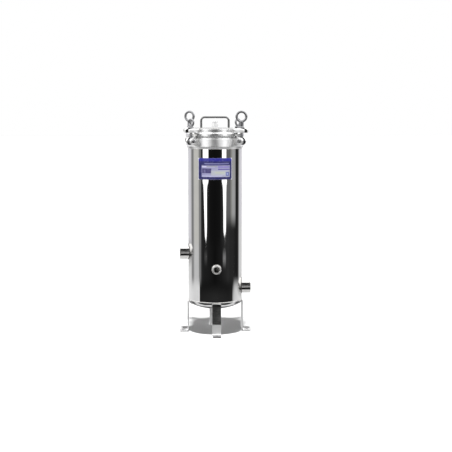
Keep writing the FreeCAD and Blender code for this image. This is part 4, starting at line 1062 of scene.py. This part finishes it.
RING_TURN = {"front_right": 90.0, "rear_left": 60.0, "front_left": 45.0, "rear_right": 135.0}
for nm, deg in CORNERS:
    short = nm in SHORT
    rot = turn_z(deg)
    at = rot @ Vector((PIVOT_R, 0, 0))
    upright = Matrix.Translation(at)
    top = 850.0 if short else 866.0
    # eye and neck, forged in one piece
    v, f, n = lathe_data(profile([(5.15, -6.5), (11.0, -6.5, 0.8), (11.0, 6.5, 0.8), (5.15, 6.5)], step=15.0), 96)
    eye = raw_mesh(v, f, rot @ along((PIVOT_R, 0, PIVOT_Z), (0, 1, 0)))
    neck = cylinder_mesh(5.75, PIVOT_Z + 8.5, 818.0, 48, upright)
    eye = blended([eye, neck], 0.5, 5)
    finish_mesh(eye, M_CAST, 60)
    place("bolt_eye_" + nm, eye, "bolt_" + nm, ("swing_bolt_" + nm,))
    thr = thread_mesh(5.98, 0.95, 1.75, 815.5, top, 40, 9, upright)
    finish_mesh(thr, M_THREAD, 70)
    place("bolt_thread_" + nm, thr, "bolt_" + nm)
    turned("washer_disc_" + nm, profile([(6.3, 840.0), (12.5, 840.0, 0.35), (12.5, 842.5, 0.5), (6.3, 842.5, 0.3)], step=20.0),
           72, "washer_%s_body" % nm, "fastener_steel", M_PIN, ("washer_" + nm,), upright)
    # ring nut: barrel with a blind bore, collar cone and ring
    tall, mid, sec = (5.0, 13.0, 4.0) if short else (25.0, 19.2, 4.9)
    zb = 842.5
    bore_top = min(top + 0.5, zb + tall - 0.5) if not short else top + 0.5
    pts = [(6.06, zb), (10.6, zb, 0.4), (9.3, zb + 2.4, 0.6), (8.6, zb + 3.4, 0.6)]
    cap_z = zb + tall
    if short:
        cap_z = max(cap_z, bore_top + 1.4)
    pts += [(8.6, cap_z, 1.6), (0.0, cap_z), (0.0, bore_top), (6.06, bore_top)]
    v, f, n = lathe_data(profile(pts[:5], closed=False, step=15.0)[:0] + profile(pts, closed=True, step=15.0), 72, True)
    barrel = raw_mesh(v, f, upright)
    ringz = zb + tall + mid + (1.1 if short else -1.0)
    k = 120
    loop = [(mid * math.cos(2 * math.pi * i / k), 0, mid * math.sin(2 * math.pi * i / k)) for i in range(k)]
    v, f = tube_data(loop, sec, 32, True)
    ring_m = upright @ Matrix.Translation(Vector((0, 0, ringz))) @ turn_z(RING_TURN[nm] - 90)
    ring = raw_mesh(v, f, ring_m)
    fix_normals(ring)
    nut = blended([barrel, ring], 0.45, 5)
    finish_mesh(nut, M_CAST, 60)
    place("lifting_nut_" + nm, nut, "nut_" + nm, ("ring_nut_" + nm,))

# ------------------------------------------------------------------ carried-over inner parts
for nm, mat in (("tube_sheet", M_INNER), ("cartridge_seats", M_INNER), ("filter_cartridges", M_FIBRE),
                ("cartridge_end_caps", M_PLASTIC), ("cartridge_top_caps", M_PLASTIC), ("hold_down_springs", M_THREAD),
                ("hold_down_plate", M_INNER), ("tie_rods", M_INNER), ("tie_rod_nuts", M_PIN)):
    ob = NODES[nm]
    for s in ob.material_slots:
        s.material = mat
    if not ob.material_slots:
        ob.data.materials.append(mat)

# ------------------------------------------------------------------ floor
floor_me = bpy.data.meshes.new("floor")
fn = 24
fv, ff = [], []
for j in range(fn + 1):
    for i in range(fn + 1):
        fv.append((-30 + 60 * i / fn, -30 + 60 * j / fn, -0.0004))
for j in range(fn):
    for i in range(fn):
        a = j * (fn + 1) + i
        ff.append((a, a + 1, a + fn + 2, a + fn + 1))
floor_me.from_pydata(fv, [], ff)
mat, g, sh = new_material("studio_floor")
w = g.coords()
g.link(g.mixc(g.noise(w, 3.0, 3.0), (0.90, 0.90, 0.90), (0.93, 0.93, 0.93)), sh.inputs["Base Color"])
sh.inputs["Roughness"].default_value = 0.9
sh.inputs["Specular IOR Level"].default_value = 0.1
floor_me.materials.append(mat)
floor = bpy.data.objects.new("studio_floor", floor_me)
SCENE.collection.objects.link(floor)
floor.visible_glossy = False

# ------------------------------------------------------------------ studio light
world = bpy.data.worlds.new("studio")
SCENE.world = world
world.use_nodes = True
g = Graph(world.node_tree)
out = g.add("ShaderNodeOutputWorld")
bg = g.add("ShaderNodeBackground")
g.link(bg.outputs[0], out.inputs["Surface"])
tc = g.add("ShaderNodeTexCoord")


def dot(vec):
    n = g.add("ShaderNodeVectorMath", operation="DOT_PRODUCT")
    g.link(tc.outputs["Generated"], n.inputs[0])
    n.inputs[1].default_value = vec
    return n.outputs["Value"]


front = dot((math.sin(CAM_AZ), -math.cos(CAM_AZ), 0.0))
right = dot((math.cos(CAM_AZ), math.sin(CAM_AZ), 0.0))
up = dot((0.0, 0.0, 1.0))
theta = g.math("MULTIPLY", g.math("ARCTAN2", right, front), 180.0 / math.pi)
phi = g.math("MULTIPLY", g.math("ARCSINE", up), 180.0 / math.pi)


WARM, COOL = (1.0, 0.985, 0.93), (0.985, 0.97, 1.03)


def grey(level, tint=(1.0, 1.0, 1.0)):
    """Panel radiance that looks this bright (0 to 1) in the steel."""
    c = level ** 2.2 / 0.83
    return (c * tint[0], c * tint[1], c * tint[2], 1.0)


def wall(stops):
    """Brightness of the studio round the object: (degrees from the camera, level, tint)."""
    halves = []
    for sign in (-1, 1):
        part = sorted((abs(st[0]), grey(*st[1:])) for st in stops if st[0] * sign > 0 or st[0] == 0)
        ramp = g.add("ShaderNodeValToRGB")
        g.link(g.math("DIVIDE", g.math("ABSOLUTE", theta), 180.0), ramp.inputs[0])
        cr = ramp.color_ramp
        cr.interpolation = "LINEAR"
        while len(cr.elements) < len(part):
            cr.elements.new(0.5)
        for _ in range(2):
            for el, (d, c) in zip(cr.elements, part):
                el.position = d / 180.0
        for el, (d, c) in zip(cr.elements, part):
            el.color = c
        halves.append(ramp.outputs[0])
    return g.mixc(g.math("GREATER_THAN", theta, 0.0), halves[0], halves[1])


def box_mask(value, a, b, soft):
    return g.math("MULTIPLY", g.span(value, a - soft, a + soft), g.span(value, b - soft, b + soft, 1.0, 0.0))


def softbox(stops):
    """Tall softbox that narrows downwards: (elevation, centre, half width), lowest first."""
    lo, hi = stops[0][0], stops[-1][0]
    ramp = g.add("ShaderNodeValToRGB")
    g.link(g.math("DIVIDE", g.math("SUBTRACT", phi, lo), hi - lo), ramp.inputs[0])
    cr = ramp.color_ramp
    cr.interpolation = "LINEAR"
    while len(cr.elements) < len(stops):
        cr.elements.new(0.5)
    for _ in range(2):
        for el, st in zip(cr.elements, stops):
            el.position = (st[0] - lo) / (hi - lo)
    for el, st in zip(cr.elements, stops):
        el.color = (abs(st[1]) / 100.0, st[2] / 100.0, 0.0, 1.0)
    sep = g.add("ShaderNodeSeparateColor")
    g.link(ramp.outputs[0], sep.inputs[0])
    centre = g.math("MULTIPLY", sep.outputs[0], 100.0 if stops[0][1] > 0 else -100.0)
    half = g.math("MULTIPLY", sep.outputs[1], 100.0)
    off = g.math("SUBTRACT", g.math("ABSOLUTE", g.math("SUBTRACT", theta, centre)), half)
    inside = g.span(off, -1.2, 1.2, 1.0, 0.0)
    return g.math("MULTIPLY", inside, g.span(phi, lo - 0.05, lo + 0.05))


# Object height: dark camera side, flags and grey panels at the sides, pale backdrop behind.
mid = wall([(0, .09), (-20, .10), (-28, .14), (-33, .16), (-50, .14), (-60, .17), (-64, .46), (-71, .48),
            (-76, .73, WARM), (-99, .74, WARM), (-105, .58), (-110, .46), (-117, .47), (-121, .60), (-127, .78, COOL),
            (-150, .82, COOL), (-180, .82), (20, .10), (28, .14), (46, .20), (52, .38), (69, .38), (74, .52, WARM),
            (84, .62), (97, .57), (101, .22), (105, .13), (117, .13), (124, .50), (129, .78, COOL), (150, .82, COOL), (180, .82)])
under = wall([(0, .09), (-28, .13), (-50, .14), (-60, .18), (-64, .42), (-71, .46), (-76, .73), (-99, .74), (-105, .60),
              (-110, .50), (-117, .52), (-127, .80), (-180, .82),
              (28, .13), (50, .17), (58, .19), (69, .17), (84, .17), (97, .14), (105, .13), (117, .13), (124, .50),
              (129, .78), (180, .82)])
low = wall([(0, .09), (-60, .09), (-69, .13), (-71.5, .90), (-76, .84), (-100, .82), (-150, .87), (-180, .88),
            (60, .10), (84, .13), (90, .58), (96, .74), (130, .84), (155, .88), (180, .88)])
low_core = wall([(0, .17), (-60, .15), (-69, .17), (-71.5, .90), (-76, .84), (-100, .83), (-150, .88), (-180, .88),
                 (60, .15), (80, .17), (85, .70), (96, .80), (130, .86), (155, .88), (180, .88)])
left_box = softbox([(-7.24, -39.2, 0.0), (-6.98, -39.7, 3.6), (-6.45, -39.8, 5.0), (-5.6, -40.6, 5.8), (-4.4, -41.7, 7.2), (-4.15, -41.2, 8.5),
                    (-3.95, -40.8, 13.0), (-2.9, -40.3, 12.2), (12.0, -40.5, 12.5)])
right_box = softbox([(-6.98, 42.5, 0.0), (-6.75, 42.5, 4.6), (-6.45, 42.6, 5.6), (-5.6, 42.8, 6.0), (-4.4, 42.4, 7.4), (-4.15, 42.0, 8.4),
                     (-3.95, 41.4, 11.5), (-2.9, 40.4, 9.3), (12.0, 40.4, 9.5)])
drop = g.math("MULTIPLY", g.span(theta, 47.0, 53.0), 1.3)
mid = g.mixc(g.span(g.math("SUBTRACT", phi, drop), -7.9, -6.9), under, mid)
mid = g.mixc(g.math("MAXIMUM", left_box, right_box), mid, grey(1.15))
glow = g.math("MULTIPLY", box_mask(theta, 34.5, 48.0, 3.0), box_mask(phi, -8.45, -7.85, 0.35))
mid = g.mixc(glow, mid, grey(0.47))
glow = g.math("MULTIPLY", box_mask(theta, -46.0, -34.0, 3.0), box_mask(phi, -8.35, -7.85, 0.35))
mid = g.mixc(glow, mid, grey(0.28))
band = g.mixc(g.span(phi, -9.9, -9.1), low, mid)
band = g.mixc(g.span(phi, -10.4, -9.4), low_core, band)
# Towards the camera side: a thin bright line, then darkness up to the ceiling softbox.
camera_side = g.span(g.math("ABSOLUTE", theta), 11.0, 20.0, 1.0, 0.0)
slit = g.math("MULTIPLY", camera_side, box_mask(phi, 5.0, 10.0, 1.0))
band = g.mixc(slit, band, grey(0.72))
upper = g.mixc(camera_side, grey(1.32), grey(0.12))
sky = g.mixc(g.span(phi, 11.0, 15.0), band, upper)
top_edge = g.mixf(camera_side, 0.0, 14.0)
sky = g.mixc(g.span(g.math("SUBTRACT", phi, top_edge), 34.0, 46.0), sky, grey(1.32))
# Below: on the camera side a lit step, a dark gap and the lit floor; elsewhere the lit floor.
near = g.span(g.math("ABSOLUTE", theta), 78.0, 96.0, 1.0, 0.0)
steps = g.mixc(g.span(phi, -23.5, -21.5), grey(0.13), grey(0.88))
steps = g.mixc(g.span(phi, -67.0, -63.0), grey(0.84), steps)
ground = g.mixc(near, grey(0.86), steps)
sky = g.mixc(g.span(phi, -13.9, -13.0), ground, sky)
# Flags behind the object: one at its height, one low that outlines the bottom head.
far = g.math("ABSOLUTE", theta)
flag = g.math("MULTIPLY", g.span(far, 164.0, 170.0), box_mask(phi, -24.0, 0.0, 1.5))
sky = g.mixc(flag, sky, grey(0.20))
flag = g.math("MULTIPLY", g.span(far, 100.0, 118.0), box_mask(phi, -40.0, -19.0, 3.0))
sky = g.mixc(flag, sky, grey(0.34))
lp = g.add("ShaderNodeLightPath")
colour = g.mixc(lp.outputs["Is Camera Ray"], sky, (1.0, 1.0, 1.0, 1.0))
g.link(colour, bg.inputs["Color"])
g.link(g.mixf(lp.outputs["Is Diffuse Ray"], 1.0, 0.035), bg.inputs["Strength"])


def sun(name, energy, spread, towards):
    data = bpy.data.lights.new(name, "SUN")
    data.energy = energy
    data.angle = RAD(spread)
    lamp = bpy.data.objects.new(name, data)
    lamp.rotation_euler = Vector(towards).to_track_quat("-Z", "Y").to_euler()
    lamp.visible_glossy = False
    SCENE.collection.objects.link(lamp)


# Ceiling light, tipped a little from the front left: it makes the oval of shade under the vessel.
sun("ceiling", 3.65, 3.0, (0.022, 0.20, -1.0))
# Flat front light at object height, for the printed plate.
sun("front_fill", 0.48, 1.0, (0.10, 1.0, -0.03))
